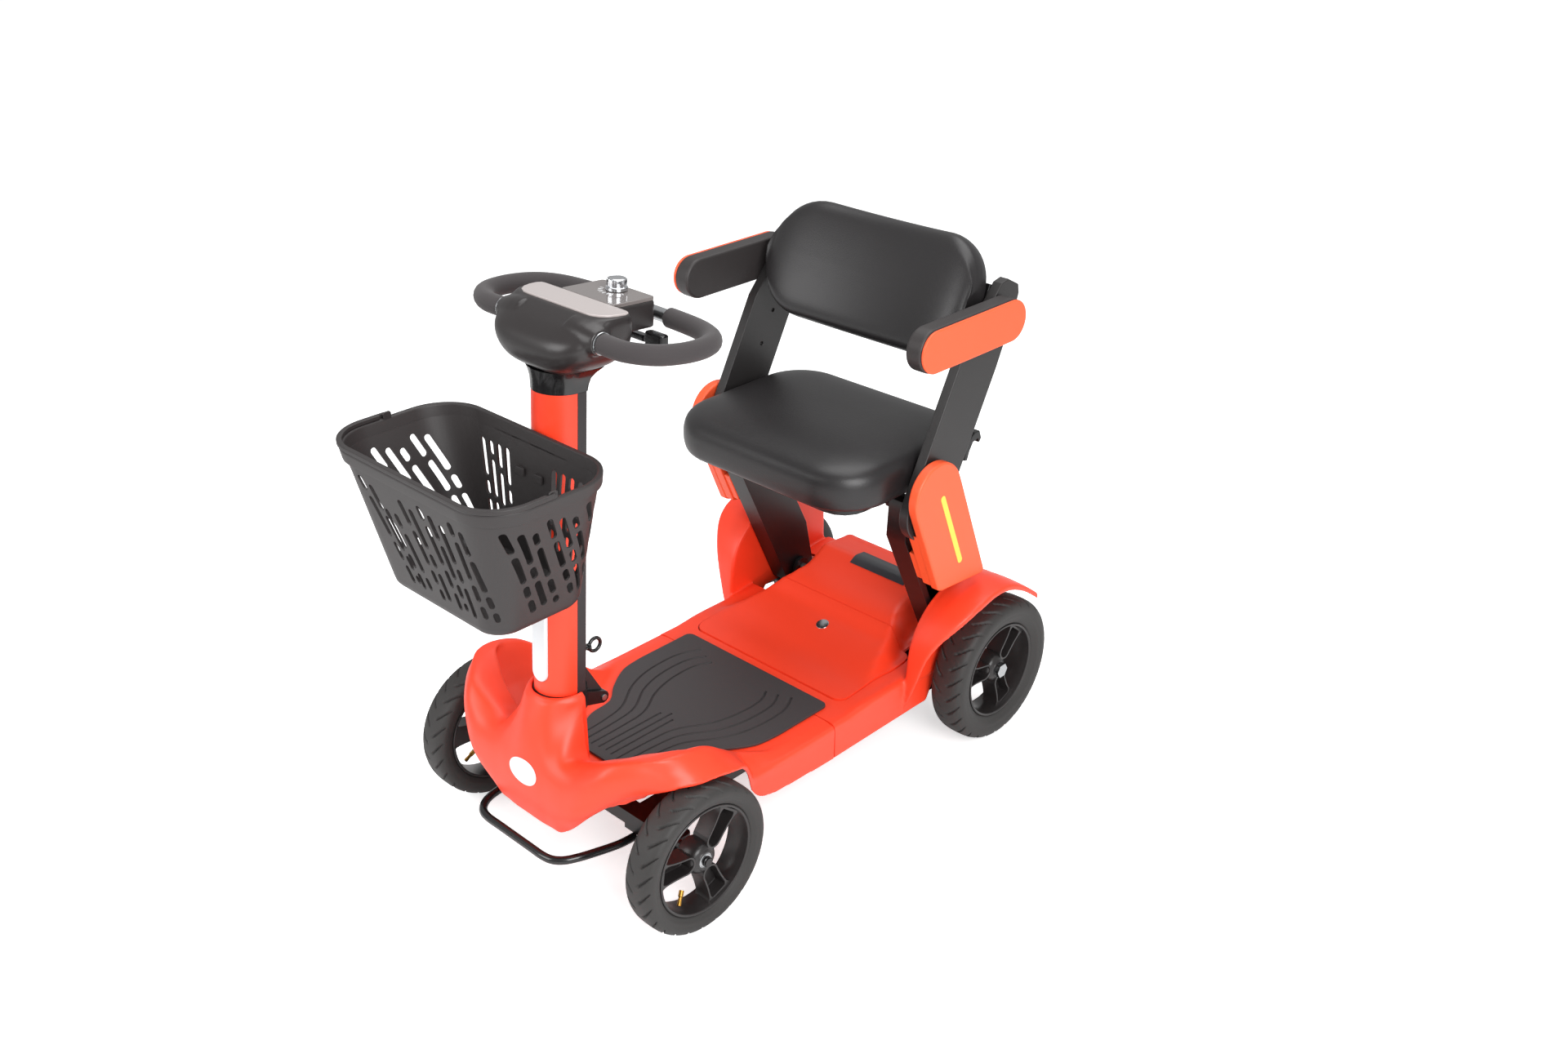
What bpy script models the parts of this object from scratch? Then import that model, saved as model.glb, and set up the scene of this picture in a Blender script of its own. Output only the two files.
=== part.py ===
"""Folding four-wheel mobility scooter, built from separate solids.

Metres, +Z up, +X to the rider's left, the front towards -Y.  Lengths along the
scooter are measured from the middle of the wheelbase; the root empty moves
that point so that the origin lies under the middle of the whole object.
"""
import math

import bmesh
import bpy
from mathutils import Matrix, Vector

for old in list(bpy.data.objects):
    bpy.data.objects.remove(old, do_unlink=True)

# Whole machine
WHEELBASE = 0.625
MID_Y = 0.0605
DECK_HALF = 0.188
GAP = 0.0003
RUN = 0.0004

# Wheels
FRONT_TYRE_R = 0.108
FRONT_TYRE_HALF = 0.0245
FRONT_RIM_R = 0.0795
FRONT_TRACK_HALF = 0.222
REAR_TYRE_R = 0.1165
REAR_TYRE_HALF = 0.029
REAR_RIM_R = 0.0762
WHEEL_WELL = 0.0083
REAR_TRACK_HALF = DECK_HALF + WHEEL_WELL + REAR_TYRE_HALF
TYRE_SIDES = 24
RIM_WALL = 0.006
RIM_LIP = 0.003
SPOKE_HALF = 0.0045
HUB_R = 0.021
HUB_HALF = 0.018
STUB_R = 0.006
BEARING_R = 0.011
BEARING_WIDTH = 0.007
DRIVE_SHAFT_R = 0.0075

# Steering
RAKE = math.radians(4.7)
HEAD_BASE = (0.0, -0.3616, 0.085)
HEAD_TUBE_R = 0.022
HEAD_TUBE_FOOT = 0.008
HEAD_TUBE_TOP = 0.150
STEM_R = 0.0145
KINGPIN_X = 0.150
KINGPIN_R = 0.007
BOSS_R = 0.014
BOSS_HALF = 0.022
ARM_LENGTH = 0.045
ARM_THICK = 0.008
ARM_PIN_R = 0.004
ROD_EYE_R = 0.010

# Tiller
SEAM_W = 0.2045
PLATFORM_R = 0.036
PLATFORM_HEIGHT = 0.0325
PLATFORM_FOOT = SEAM_W - PLATFORM_HEIGHT
TILLER_PIN_V = 0.062
TILLER_PIN_DROP = 0.0359
TILLER_PIN_W = SEAM_W - TILLER_PIN_DROP
TILLER_PIN_R = 0.0045
COLUMN_TOP = 0.622
COLUMN_HALF = 0.034
COLUMN_REAR = 0.019
COLUMN_NOSE = 0.035
COVER_WALL = 0.003
RING_V = 0.059
RING_RISE = 0.0395
RING_W = SEAM_W + RING_RISE
RING_PIN_R = 0.0035
LIGHT_RISE = 0.0175
LIGHT_LENGTH = 0.123
LIGHT_FOOT = SEAM_W + LIGHT_RISE
LIGHT_TOP = LIGHT_FOOT + LIGHT_LENGTH
LIGHT_HALF = 0.014
NECK_TOP = 0.652
HEAD_TOP = 0.727
LOOP_W = 0.702
LOOP_TUBE_R = 0.0090
GRIP_R = 0.0128
DIAL_R = 0.0140
DIAL_HEIGHT = 0.016
DIAL_V = 0.091
PANEL_THICK = 0.004
THROTTLE_V = 0.098
THROTTLE_RISE = 0.026
THROTTLE_W = NECK_TOP + THROTTLE_RISE
BAY_HALF = 0.060
BAY_ROOM = 0.0105
BAY_TOP = THROTTLE_W + BAY_ROOM

# Basket
BASKET_TOP = 0.661
BASKET_FLOOR = 0.474
BASKET_GAP = 0.0075
BASKET_FRONT = -0.546
BASKET_MID = -0.455
BASKET_HALF = 0.166
BASKET_FOOT_HALF = 0.116
BASKET_FOOT_FRONT = -0.517
BASKET_WALL = 0.003
BASKET_RIM = 0.004
RIM_DROP = 0.016
SLOT_WIDTH = 0.0085
SLOT_LENGTH = 0.040
SLOT_LEAN = math.radians(18)
SLOT_ROWS = (0.530, 0.582, 0.625)
PEG_X = 0.018
PEG_HALF = 0.0045
PEG_HEAD_HALF = 0.0080
PEG_LOW = 0.512
PEG_HEIGHT = 0.0105
PEG_HIGH = PEG_LOW + PEG_HEIGHT
BAIL_PIN_R = 0.0022
STRAP_HALF = 0.0028
EAR_IN = 0.1625
EAR_WIDTH = 0.0032

# Deck and shells
DECK_Z = 0.143
SKIRT_Z = 0.085
SHELL_WALL = 0.003
SPLIT_Y = -0.006
MAT_THICK = 0.004
LID_FRONT = 0.041
LID_REAR = 0.205
LID_HALF = DECK_HALF - 0.030
LID_GAP = 0.001
TONGUE_X = 0.070
TONGUE_THICK = 0.0025
HUMP_Z = 0.226
TAIL_Y = 0.388
FENDER_LAP = 0.0077
FENDER_OUT = REAR_TRACK_HALF + REAR_TYRE_HALF + FENDER_LAP

# Frame inside the shells
RAIL_X = 0.105
RAIL_HALF = 0.015
RAIL_LOW = 0.088
RAIL_HIGH = 0.113
TRAY_Z = 0.066
POST_HALF = 0.007
FRONT_POST_Y = -0.100
REAR_POST_Y = 0.015
BUMPER_R = 0.0058

# Seat
LEG_SETBACK = 0.0375
SEAT_SETBACK = 0.113
LEG_PIVOT = (WHEELBASE / 2 - LEG_SETBACK, 0.170)
SEAT_PIVOT = (LEG_PIVOT[0] - SEAT_SETBACK, 0.432)
PIVOT_R = 0.006
LEG_INSET = 0.004
LEG_WIDTH = 0.036
LEG_OUT = DECK_HALF - LEG_INSET
LEG_IN = LEG_OUT - LEG_WIDTH
UPRIGHT_SPACE = 0.008
UPRIGHT_THICK = 0.016
UPRIGHT_IN = LEG_OUT + UPRIGHT_SPACE
UPRIGHT_OUT = UPRIGHT_IN + UPRIGHT_THICK
UPRIGHT_HALF = 0.044
UPRIGHT_LEAN = math.radians(28.2)
UPRIGHT_LENGTH = 0.345
CUSHION_SPACE = 0.004
CUSHION_HALF = UPRIGHT_IN - CUSHION_SPACE
CUSHION_LENGTH = 0.300
CUSHION_REACH = 0.146
CUSHION_FRONT = SEAT_PIVOT[0] - CUSHION_REACH
CUSHION_REAR = CUSHION_FRONT + CUSHION_LENGTH
CUSHION_LOW = 0.456
CUSHION_THICK = 0.064
CUSHION_CROWN = 0.007
PAD_HALF = UPRIGHT_IN - 0.0005
PAD_MID = 0.295
PAD_FACE = -0.072
PAD_HEIGHT = 0.178
PAD_THICK = 0.052
PAD_SAG = 0.042
PAD_CORNER = 0.078
PLATE_THICK = 0.006
PLATE_HALF = 0.035
ARM_SPACE = 0.0015
ARM_BODY_WIDTH = 0.0265
ARM_CAP_WIDTH = 0.0045
ARM_IN = UPRIGHT_OUT + ARM_SPACE
ARM_BODY_OUT = ARM_IN + ARM_BODY_WIDTH
ARM_OUT = ARM_BODY_OUT + ARM_CAP_WIDTH
ARM_SETBACK = 0.124
ARM_REACH = 0.188
ARM_LENGTH_Y = 0.228
ARM_PIVOT = (SEAT_PIVOT[0] + ARM_SETBACK, 0.690)
ARM_FRONT_Y = ARM_PIVOT[0] - ARM_REACH
ARM_REAR_Y = ARM_FRONT_Y + ARM_LENGTH_Y
ARM_HALF_H = 0.031


def colour(code):
    """Linear colour of an sRGB hex code."""
    values = [int(code[i:i + 2], 16) / 255 for i in (1, 3, 5)]
    return [v / 12.92 if v <= 0.04045 else ((v + 0.055) / 1.055) ** 2.4 for v in values] + [1.0]


def material(name, code, roughness, metallic=0.0):
    mat = bpy.data.materials.new(name)
    mat.use_nodes = True
    shader = mat.node_tree.nodes["Principled BSDF"]
    shader.inputs["Base Color"].default_value = colour(code)
    shader.inputs["Roughness"].default_value = roughness
    shader.inputs["Metallic"].default_value = metallic
    mat.diffuse_color = colour(code)
    return mat


RED = material("red_plastic", "#E8402C", 0.45)
ORANGE = material("orange_plastic", "#F0623A", 0.5)
GREY = material("dark_grey_plastic", "#3C3838", 0.55)
BLACK = material("black_steel", "#141414", 0.35, 0.6)
GLOSS = material("gloss_black", "#101012", 0.15)
UPRIGHT_PAINT = material("grey_painted_metal", "#464242", 0.45, 0.3)
ALLOY = material("column_alloy", "#4A4646", 0.4, 0.5)
STEEL = material("bright_steel", "#B8BABD", 0.25, 1.0)
CHROME = material("chrome", "#D8DADD", 0.08, 1.0)
RUBBER = material("tyre_rubber", "#262423", 0.85)
FOAM = material("foam_grip", "#3A3636", 0.8)
VINYL = material("seat_vinyl", "#383435", 0.5)
LENS = material("white_lens", "#F2F4F5", 0.2)
PANEL_GREY = material("panel_grey", "#B9B2B0", 0.2)
MAT_RUBBER = material("mat_rubber", "#4A4748", 0.75)
BATTERY = material("battery_case", "#2A2C30", 0.6)
MOTOR = material("motor_case", "#55585C", 0.4, 0.8)


def link(obj):
    bpy.context.scene.collection.objects.link(obj)
    return obj


FRAMES = {}


def frame(name, parent, location, tilt=0.0):
    """Empty at a joint, given where it stands in the scooter's own frame."""
    empty = link(bpy.data.objects.new(name, None))
    matrix = Matrix.Translation(location) @ Matrix.Rotation(tilt, 4, "X")
    FRAMES[name] = matrix
    if parent:
        empty.parent = parent
        empty.matrix_parent_inverse = FRAMES[parent.name].inverted()
    empty.matrix_basis = matrix
    return empty


def local(holder, point):
    """A point of the scooter's frame as a holder sees it."""
    return FRAMES[holder.name].inverted() @ Vector(point)


def arc(centre, radius, start, end, steps):
    """Points along a circle, angles in degrees."""
    points = []
    for i in range(steps + 1):
        a = math.radians(start + (end - start) * i / steps)
        points.append((centre[0] + radius * math.cos(a), centre[1] + radius * math.sin(a)))
    return points


def round_rect(x0, x1, y0, y1, radius, steps=4):
    """Rectangle with round corners, anticlockwise."""
    r = radius
    corners = ((x1 - r, y1 - r, 0), (x0 + r, y1 - r, 90), (x0 + r, y0 + r, 180), (x1 - r, y0 + r, 270))
    points = []
    for cx, cy, start in corners:
        points += arc((cx, cy), r, start, start + 90, steps)
    return points


def capsule(a, b, radius, steps=5):
    """Outline of a bar with round ends between two points."""
    heading = math.degrees(math.atan2(b[1] - a[1], b[0] - a[0]))
    return arc(b, radius, heading - 90, heading + 90, steps) + arc(a, radius, heading + 90, heading + 270,
                                                                   steps)


def place(axis, a, b, h):
    """Point with outline values a, b at height h along an axis."""
    return {"x": (h, a, b), "y": (a, h, b), "z": (a, b, h)}[axis]


def prism(outline, axis, low, high):
    """Straight solid over an outline; for axis x the outline is y, z."""
    def build(bm):
        verts = [bm.verts.new(place(axis, a, b, low)) for a, b in outline]
        face = bm.faces.new(verts)
        out = bmesh.ops.extrude_face_region(bm, geom=[face])
        moved = [v for v in out["geom"] if isinstance(v, bmesh.types.BMVert)]
        bmesh.ops.translate(bm, verts=moved, vec=Vector(place(axis, 0, 0, high - low)))
    return build


def box(x0, x1, y0, y1, z0, z1):
    return prism([(x0, y0), (x1, y0), (x1, y1), (x0, y1)], "z", z0, z1)


def lathe(profile, axis, centre=(0, 0, 0), sides=24, phase=0.0):
    """Turned solid: profile of (radius, height) points, a closed section."""
    def build(bm):
        turns = {"x": Vector((1, 0, 0)), "y": Vector((0, 1, 0)), "z": Vector((0, 0, 1))}
        outward = {"x": Vector((0, 0, -1)), "y": Vector((0, 0, -1)), "z": Vector((0, -1, 0))}
        up = turns[axis]
        out = Matrix.Rotation(phase, 3, up) @ outward[axis]
        verts = [bm.verts.new(Vector(centre) + out * r + up * h) for r, h in profile]
        edges = [bm.edges.new((verts[i], verts[(i + 1) % len(verts)])) for i in range(len(verts))]
        bmesh.ops.spin(bm, geom=verts + edges, cent=centre, axis=up, angle=math.tau, steps=sides,
                       use_merge=True)
        bmesh.ops.remove_doubles(bm, verts=bm.verts[:], dist=1e-6)
        bmesh.ops.dissolve_degenerate(bm, dist=1e-6, edges=bm.edges[:])
    return build


def rod(axis, radius, low, high, at=(0, 0), sides=16):
    """Cylinder along an axis; at is its place across that axis."""
    return prism([(at[0] + p, at[1] + q) for p, q in arc((0, 0), radius, 0, 360, sides)[:-1]], axis, low,
                 high)


def loft(rings, closed=False):
    """Skin over rings of equal length, with flat ends unless it closes on itself."""
    def build(bm):
        loops = [[bm.verts.new(p) for p in ring] for ring in rings]
        count = len(loops[0])
        pairs = list(zip(loops, loops[1:]))
        if closed:
            pairs.append((loops[-1], loops[0]))
        for low, high in pairs:
            for i in range(count):
                j = (i + 1) % count
                bm.faces.new((low[i], low[j], high[j], high[i]))
        if not closed:
            bm.faces.new(loops[0])
            bm.faces.new(loops[-1])
    return build


def sheet(rows, wall):
    """Open grid of points given a wall inwards."""
    def build(bm):
        grid = [[bm.verts.new(p) for p in row] for row in rows]
        for low, high in zip(grid, grid[1:]):
            for i in range(len(low) - 1):
                bm.faces.new((low[i], low[i + 1], high[i + 1], high[i]))
        bmesh.ops.recalc_face_normals(bm, faces=bm.faces[:])
        top = max(bm.faces, key=lambda f: f.calc_center_median().z)
        if top.normal.z < 0:
            bmesh.ops.reverse_faces(bm, faces=bm.faces[:])
        bmesh.ops.solidify(bm, geom=bm.faces[:], thickness=wall)
    return build


def sweep(points, radius, sides=10, closed=False):
    """Round bar along a path."""
    path = [Vector(p) for p in points]
    count = len(path)

    def heading(i):
        ahead = path[(i + 1) % count] if closed or i + 1 < count else path[i]
        behind = path[i - 1] if closed or i > 0 else path[i]
        return (ahead - behind).normalized()

    def build(bm):
        side = heading(0).orthogonal().normalized()
        rings = []
        for i, point in enumerate(path):
            along = heading(i)
            side = (side - along * side.dot(along)).normalized()
            other = along.cross(side)
            ring = []
            for k in range(sides):
                a = math.tau * k / sides
                ring.append(point + radius * (math.cos(a) * side + math.sin(a) * other))
            rings.append(ring)
        loft(rings, closed)(bm)
    return build


def smooth_path(points, steps, closed=False):
    """Catmull-Rom curve through the given points."""
    path = [Vector(p) for p in points]
    count = len(path)
    spans = count if closed else count - 1
    out = []
    for i in range(spans):
        if closed:
            p0, p1, p2, p3 = (path[(i + k - 1) % count] for k in range(4))
        else:
            p0, p1, p2, p3 = path[max(i - 1, 0)], path[i], path[i + 1], path[min(i + 2, count - 1)]
        for k in range(steps):
            t = k / steps
            out.append(0.5 * (2 * p1 + (p2 - p0) * t + (2 * p0 - 5 * p1 + 4 * p2 - p3) * t * t
                              + (3 * p1 - p0 - 3 * p2 + p3) * t ** 3))
    if not closed:
        out.append(path[-1])
    return out


def turn_outwards(bm):
    bmesh.ops.recalc_face_normals(bm, faces=bm.faces[:])
    if bm.calc_volume(signed=True) < 0:
        bmesh.ops.reverse_faces(bm, faces=bm.faces[:])


def mesh_of(name, build):
    bm = bmesh.new()
    build(bm)
    turn_outwards(bm)
    mesh = bpy.data.meshes.new(name)
    bm.to_mesh(mesh)
    bm.free()
    mesh.shade_smooth()
    mesh.set_sharp_from_angle(angle=math.radians(32))
    return mesh


def part(name, mat, holder, shapes, cuts=(), offset=(0, 0, 0), solver="EXACT"):
    """One sub-part: its shapes are joined and its cuts taken out."""
    obj = link(bpy.data.objects.new(name, mesh_of(name, shapes[0])))
    obj.data.materials.append(mat)
    obj.parent = holder
    obj.location = offset
    for operation, group in (("UNION", shapes[1:]), ("DIFFERENCE", cuts)):
        for i, build in enumerate(group):
            tool = link(bpy.data.objects.new(f"{name}_{operation.lower()}_{i}", mesh_of(name + "_tool",
                                                                                        build)))
            tool.parent = holder
            tool.location = offset
            tool.hide_render = True
            tool.display_type = "WIRE"
            modifier = obj.modifiers.new(f"{operation.lower()}_{i}", "BOOLEAN")
            modifier.operation = operation
            modifier.solver = solver
            modifier.object = tool
    return obj


def moved(matrix, build):
    """A shape turned and carried by a matrix."""
    def made(bm):
        build(bm)
        bmesh.ops.transform(bm, matrix=matrix, verts=bm.verts[:])
    return made


def interpolate(table, value):
    """Height read from a short list of (place, height) pairs."""
    if value <= table[0][0]:
        return table[0][1]
    for (a, low), (b, high) in zip(table, table[1:]):
        if value <= b:
            return low + (high - low) * (value - a) / (b - a)
    return table[-1][1]


def both_sides(row):
    """A half row of points from the middle outwards, made whole."""
    return [(-x, y, z) for x, y, z in reversed(row[1:])] + list(row)


ROOT = frame("scooter", None, (0, 0, 0))
ROOT.location = (0, MID_Y, 0)
FRONT_AXLE = (-WHEELBASE / 2, FRONT_TYRE_R)
REAR_AXLE = (WHEELBASE / 2, REAR_TYRE_R)


def chassis():
    y_front, z_front = FRONT_AXLE
    y_rear, z_rear = REAR_AXLE
    head = frame("head_tube_axis", ROOT, HEAD_BASE, -RAKE)
    boss_tilt = Matrix.Translation((0, y_front, z_front)) @ Matrix.Rotation(-RAKE, 4, "X")
    rails_front = HEAD_BASE[1] - HEAD_TUBE_R
    cross_front = y_front - 0.0125
    cross_rear = y_front + 0.0125
    rear_beam = LEG_PIVOT[0] - 0.020
    plate_x = 0.052
    shapes = [box(-KINGPIN_X, KINGPIN_X, cross_front, cross_rear, 0.098, 0.120)]
    for side in (-1, 1):
        x0, x1 = sorted((side * (RAIL_X - RAIL_HALF), side * (RAIL_X + RAIL_HALF)))
        shapes.append(box(x0, x1, cross_front + 0.002, rear_beam + 0.006, RAIL_LOW, RAIL_HIGH))
        boss = rod("z", BOSS_R, -BOSS_HALF, BOSS_HALF, (side * KINGPIN_X, 0), 16)
        shapes.append(moved(boss_tilt, boss))
        p0, p1 = sorted((side * plate_x, side * (plate_x + 0.005)))
        shapes.append(box(p0, p1, rear_beam, y_rear + 0.045, z_rear - 0.036, z_rear + 0.036))
        l0, l1 = sorted((side * (LEG_IN - 0.0085), side * (LEG_IN - 0.0015)))
        outline = capsule((LEG_PIVOT[0] - 0.01, RAIL_HIGH - 0.008), LEG_PIVOT, 0.016, 4)
        shapes.append(prism(outline, "x", l0, l1))
    lug_reach = LEG_IN - 0.0015
    shapes.append(box(-lug_reach, lug_reach, rear_beam, rear_beam + 0.022, RAIL_LOW + 0.004,
                      RAIL_HIGH - 0.002))
    shapes.append(box(-RAIL_X, RAIL_X, -0.045, -0.020, RAIL_LOW + 0.002, RAIL_HIGH - 0.002))
    shapes.append(box(-0.012, 0.012, rails_front, cross_front + 0.004, 0.100, 0.118))
    shapes.append(moved(FRAMES["head_tube_axis"], rod("z", HEAD_TUBE_R, HEAD_TUBE_FOOT, HEAD_TUBE_TOP,
                                                      sides=18)))
    tray_in = RAIL_X - RAIL_HALF
    tray = [(-tray_in - 0.002, RAIL_LOW + 0.01), (-tray_in - 0.002, TRAY_Z), (tray_in + 0.002, TRAY_Z),
            (tray_in + 0.002, RAIL_LOW + 0.01), (tray_in - 0.001, RAIL_LOW + 0.01),
            (tray_in - 0.001, TRAY_Z + 0.003), (-tray_in + 0.001, TRAY_Z + 0.003),
            (-tray_in + 0.001, RAIL_LOW + 0.01)]
    shapes.append(prism(tray, "y", 0.045, 0.212))
    for side in (-1, 1):
        for y, top in ((FRONT_POST_Y, DECK_Z - 0.001), (REAR_POST_Y, DECK_Z)):
            x0, x1 = sorted((side * (RAIL_X - POST_HALF), side * (RAIL_X + POST_HALF)))
            post_top = top - SHELL_WALL - GAP
            shapes.append(box(x0, x1, y - POST_HALF, y + POST_HALF, RAIL_HIGH - 0.002, post_top))
    cuts = [moved(FRAMES["head_tube_axis"], rod("z", STEM_R + RUN, -0.05, 0.2, sides=18))]
    for side in (-1, 1):
        pin = rod("z", KINGPIN_R + RUN, -0.05, 0.05, (side * KINGPIN_X, 0), 16)
        cuts.append(moved(boss_tilt, pin))
    cuts.append(rod("x", PIVOT_R + GAP, -0.25, 0.25, LEG_PIVOT, 16))
    part("chassis_frame", BLACK, ROOT, shapes, cuts)

    bumper_z = 0.090
    arm = RAIL_X + 0.004
    path = [(-arm, y_front - 0.0095, 0.082), (-arm, y_front - 0.0325, 0.084),
            (-0.096, y_front - 0.0925, bumper_z), (-0.084, y_front - 0.1175, bumper_z),
            (-0.062, y_front - 0.1275, bumper_z)]
    path = path + [(-x, y, z) for x, y, z in reversed(path)]
    part("bumper", GLOSS, ROOT, [sweep(smooth_path(path, 2), BUMPER_R, 10)])

    part("battery_pack", BATTERY, ROOT,
         [box(-0.086, 0.086, 0.050, 0.208, TRAY_Z + 0.0033, 0.132)])
    for side, name in ((1, "left"), (-1, "right")):
        x0 = side * (plate_x + 0.0053)
        x1 = side * 0.136
        x2 = side * 0.172
        case = rod("x", 0.034, min(x0, x1), max(x0, x1), REAR_AXLE, 24)
        nose = rod("x", 0.020, min(x1 - side * 0.002, x2), max(x1 - side * 0.002, x2), REAR_AXLE, 20)
        bore = rod("x", DRIVE_SHAFT_R + RUN, min(x1, side * 0.2), max(x1, side * 0.2), REAR_AXLE, 16)
        part(f"drive_motor_{name}", MOTOR, ROOT, [case, nose], [bore])
    part("leg_pivot_shaft", STEEL, ROOT, [rod("x", PIVOT_R, -LEG_OUT - 0.0010, LEG_OUT + 0.0010, LEG_PIVOT,
                                              12)])
    return head


def tyre_profile(radius, half, seat):
    """Section of a tyre, with a straight bead seat on the rim."""
    bead = half * 0.68
    crown = half * 0.36
    wall = radius - seat
    right = [(seat + GAP, bead), (seat + wall * 0.34, half * 0.96), (seat + wall * 0.62, half),
             (seat + wall * 0.87, half * 0.80), (radius, crown)]
    return right + [(r, -h) for r, h in reversed(right)]


def wheel(name, holder, radius, half, seat, hub_bore):
    bead = half * 0.68
    flange = bead + GAP
    lip = flange + RIM_LIP
    ring = [(seat, -lip), (seat - RIM_LIP, -lip), (seat - RIM_WALL, -flange * 0.5), (seat - RIM_WALL,
                                                                                     flange * 0.5),
            (seat - RIM_LIP, lip), (seat, lip)]
    hub = [(hub_bore, -HUB_HALF), (HUB_R, -HUB_HALF), (HUB_R, HUB_HALF), (hub_bore, HUB_HALF)]
    shapes = [lathe(ring, "x", sides=TYRE_SIDES), lathe(hub, "x", sides=16)]
    inner = HUB_R - SHELL_WALL
    outer = seat - RIM_WALL + 0.002
    for i in range(3):
        for spread in (-11, 11):
            root_a = math.radians(120 * i + 90 + spread * 0.9)
            tip_a = math.radians(120 * i + 90 + spread * 1.5)
            a = Vector((math.cos(root_a), math.sin(root_a))) * inner
            b = Vector((math.cos(tip_a), math.sin(tip_a))) * outer
            across = Vector((-(b - a).y, (b - a).x)).normalized() * SPOKE_HALF
            outline = [tuple(a - across), tuple(b - across), tuple(b + across), tuple(a + across)]
            shapes.append(prism(outline, "x", -0.009, 0.013))
    part(name + "_rim", GREY, holder, shapes)
    part(name + "_tyre", RUBBER, holder, [lathe(tyre_profile(radius, half, seat), "x", sides=TYRE_SIDES)])


def front_corner(side, name):
    """Knuckle with its kingpin, stub axle and arm, and the wheel on it."""
    y_axle, z_axle = FRONT_AXLE
    knuckle = frame(f"{name}_kingpin_axis", ROOT, (side * KINGPIN_X, y_axle, z_axle), -RAKE)
    plate_high = -BOSS_HALF - GAP
    plate_low = plate_high - ARM_THICK
    stub_end = FRONT_TRACK_HALF - KINGPIN_X + HUB_HALF + 0.006
    web = BOSS_R + 0.003
    x_web = sorted((side * web, side * (web + 0.010)))
    plate = [(-0.014 * side, -0.014), ((web + 0.010) * side, -0.012), ((web + 0.010) * side, 0.012), (0,
                                                                                                      0.016)]
    arm = capsule((0, 0), (0, ARM_LENGTH), 0.009, 5)
    stub = sorted((side * (web + 0.002), side * stub_end))
    shapes = [prism(arm, "z", plate_low, plate_high),
              prism(plate, "z", plate_low, plate_high),
              box(x_web[0], x_web[1], -0.011, 0.011, plate_low, 0.012),
              rod("x", STUB_R, stub[0], stub[1]),
              rod("z", KINGPIN_R, plate_high - 0.002, BOSS_HALF + 0.006, sides=16),
              rod("z", ARM_PIN_R, plate_low - ARM_THICK - 0.002, plate_low + 0.002, (0, ARM_LENGTH), 12)]
    part(f"knuckle_{name}", BLACK, knuckle, shapes)
    hub = frame(f"front_{name}_axle", knuckle, (side * FRONT_TRACK_HALF, y_axle, z_axle))
    wheel(f"front_{name}", hub, FRONT_TYRE_R, FRONT_TYRE_HALF, FRONT_RIM_R, BEARING_R + GAP)
    face = HUB_HALF * side
    ring = [(STUB_R + RUN, face - side * BEARING_WIDTH), (BEARING_R, face - side * BEARING_WIDTH),
            (BEARING_R, face), (STUB_R + RUN, face)]
    part(f"front_{name}_bearing", STEEL, hub, [lathe(ring, "x", sides=16)])
    return knuckle


def rear_corner(side, name):
    y_axle, z_axle = REAR_AXLE
    hub = frame(f"rear_{name}_axle", ROOT, (side * REAR_TRACK_HALF, y_axle, z_axle))
    wheel(f"rear_{name}", hub, REAR_TYRE_R, REAR_TYRE_HALF, REAR_RIM_R, DRIVE_SHAFT_R + GAP)
    inner = side * (0.160 - REAR_TRACK_HALF)
    face = side * (HUB_HALF + GAP)
    shaft = sorted((inner, side * (HUB_HALF + 0.004)))
    nut = sorted((face, side * (HUB_HALF + 0.008)))
    part(f"rear_{name}_shaft", STEEL, hub,
         [rod("x", DRIVE_SHAFT_R, shaft[0], shaft[1]), rod("x", 0.012, nut[0], nut[1], sides=6)])


def tie_rod(left):
    """Straight rod that joins both knuckle arms and the stem's own arm."""
    y_axle, z_axle = FRONT_AXLE
    start = FRAMES[left.name] @ Vector((0, ARM_LENGTH, 0))
    holder = frame("tie_rod_joint", left, start, -RAKE)
    low = -BOSS_HALF - GAP - ARM_THICK - GAP - ARM_THICK
    high = low + ARM_THICK
    span = 2 * KINGPIN_X
    stem_pin = FRAMES["head_tube_axis"] @ Vector((0, ARM_LENGTH, 0))
    forward = (FRAMES["tie_rod_joint"].inverted() @ stem_pin).y
    shapes = [prism(capsule((0, 0), (-span, 0), ROD_EYE_R - 0.0015, 5), "z", low, high),
              prism(capsule((-span / 2, 0), (-span / 2, forward), ROD_EYE_R - 0.001, 5), "z", low, high)]
    cuts = []
    for at in ((0, 0), (-span, 0), (-span / 2, forward)):
        cuts.append(rod("z", ARM_PIN_R + RUN, low - 0.01, high + 0.01, at, 12))
    part("tie_rod", STEEL, holder, shapes, cuts)


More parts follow.
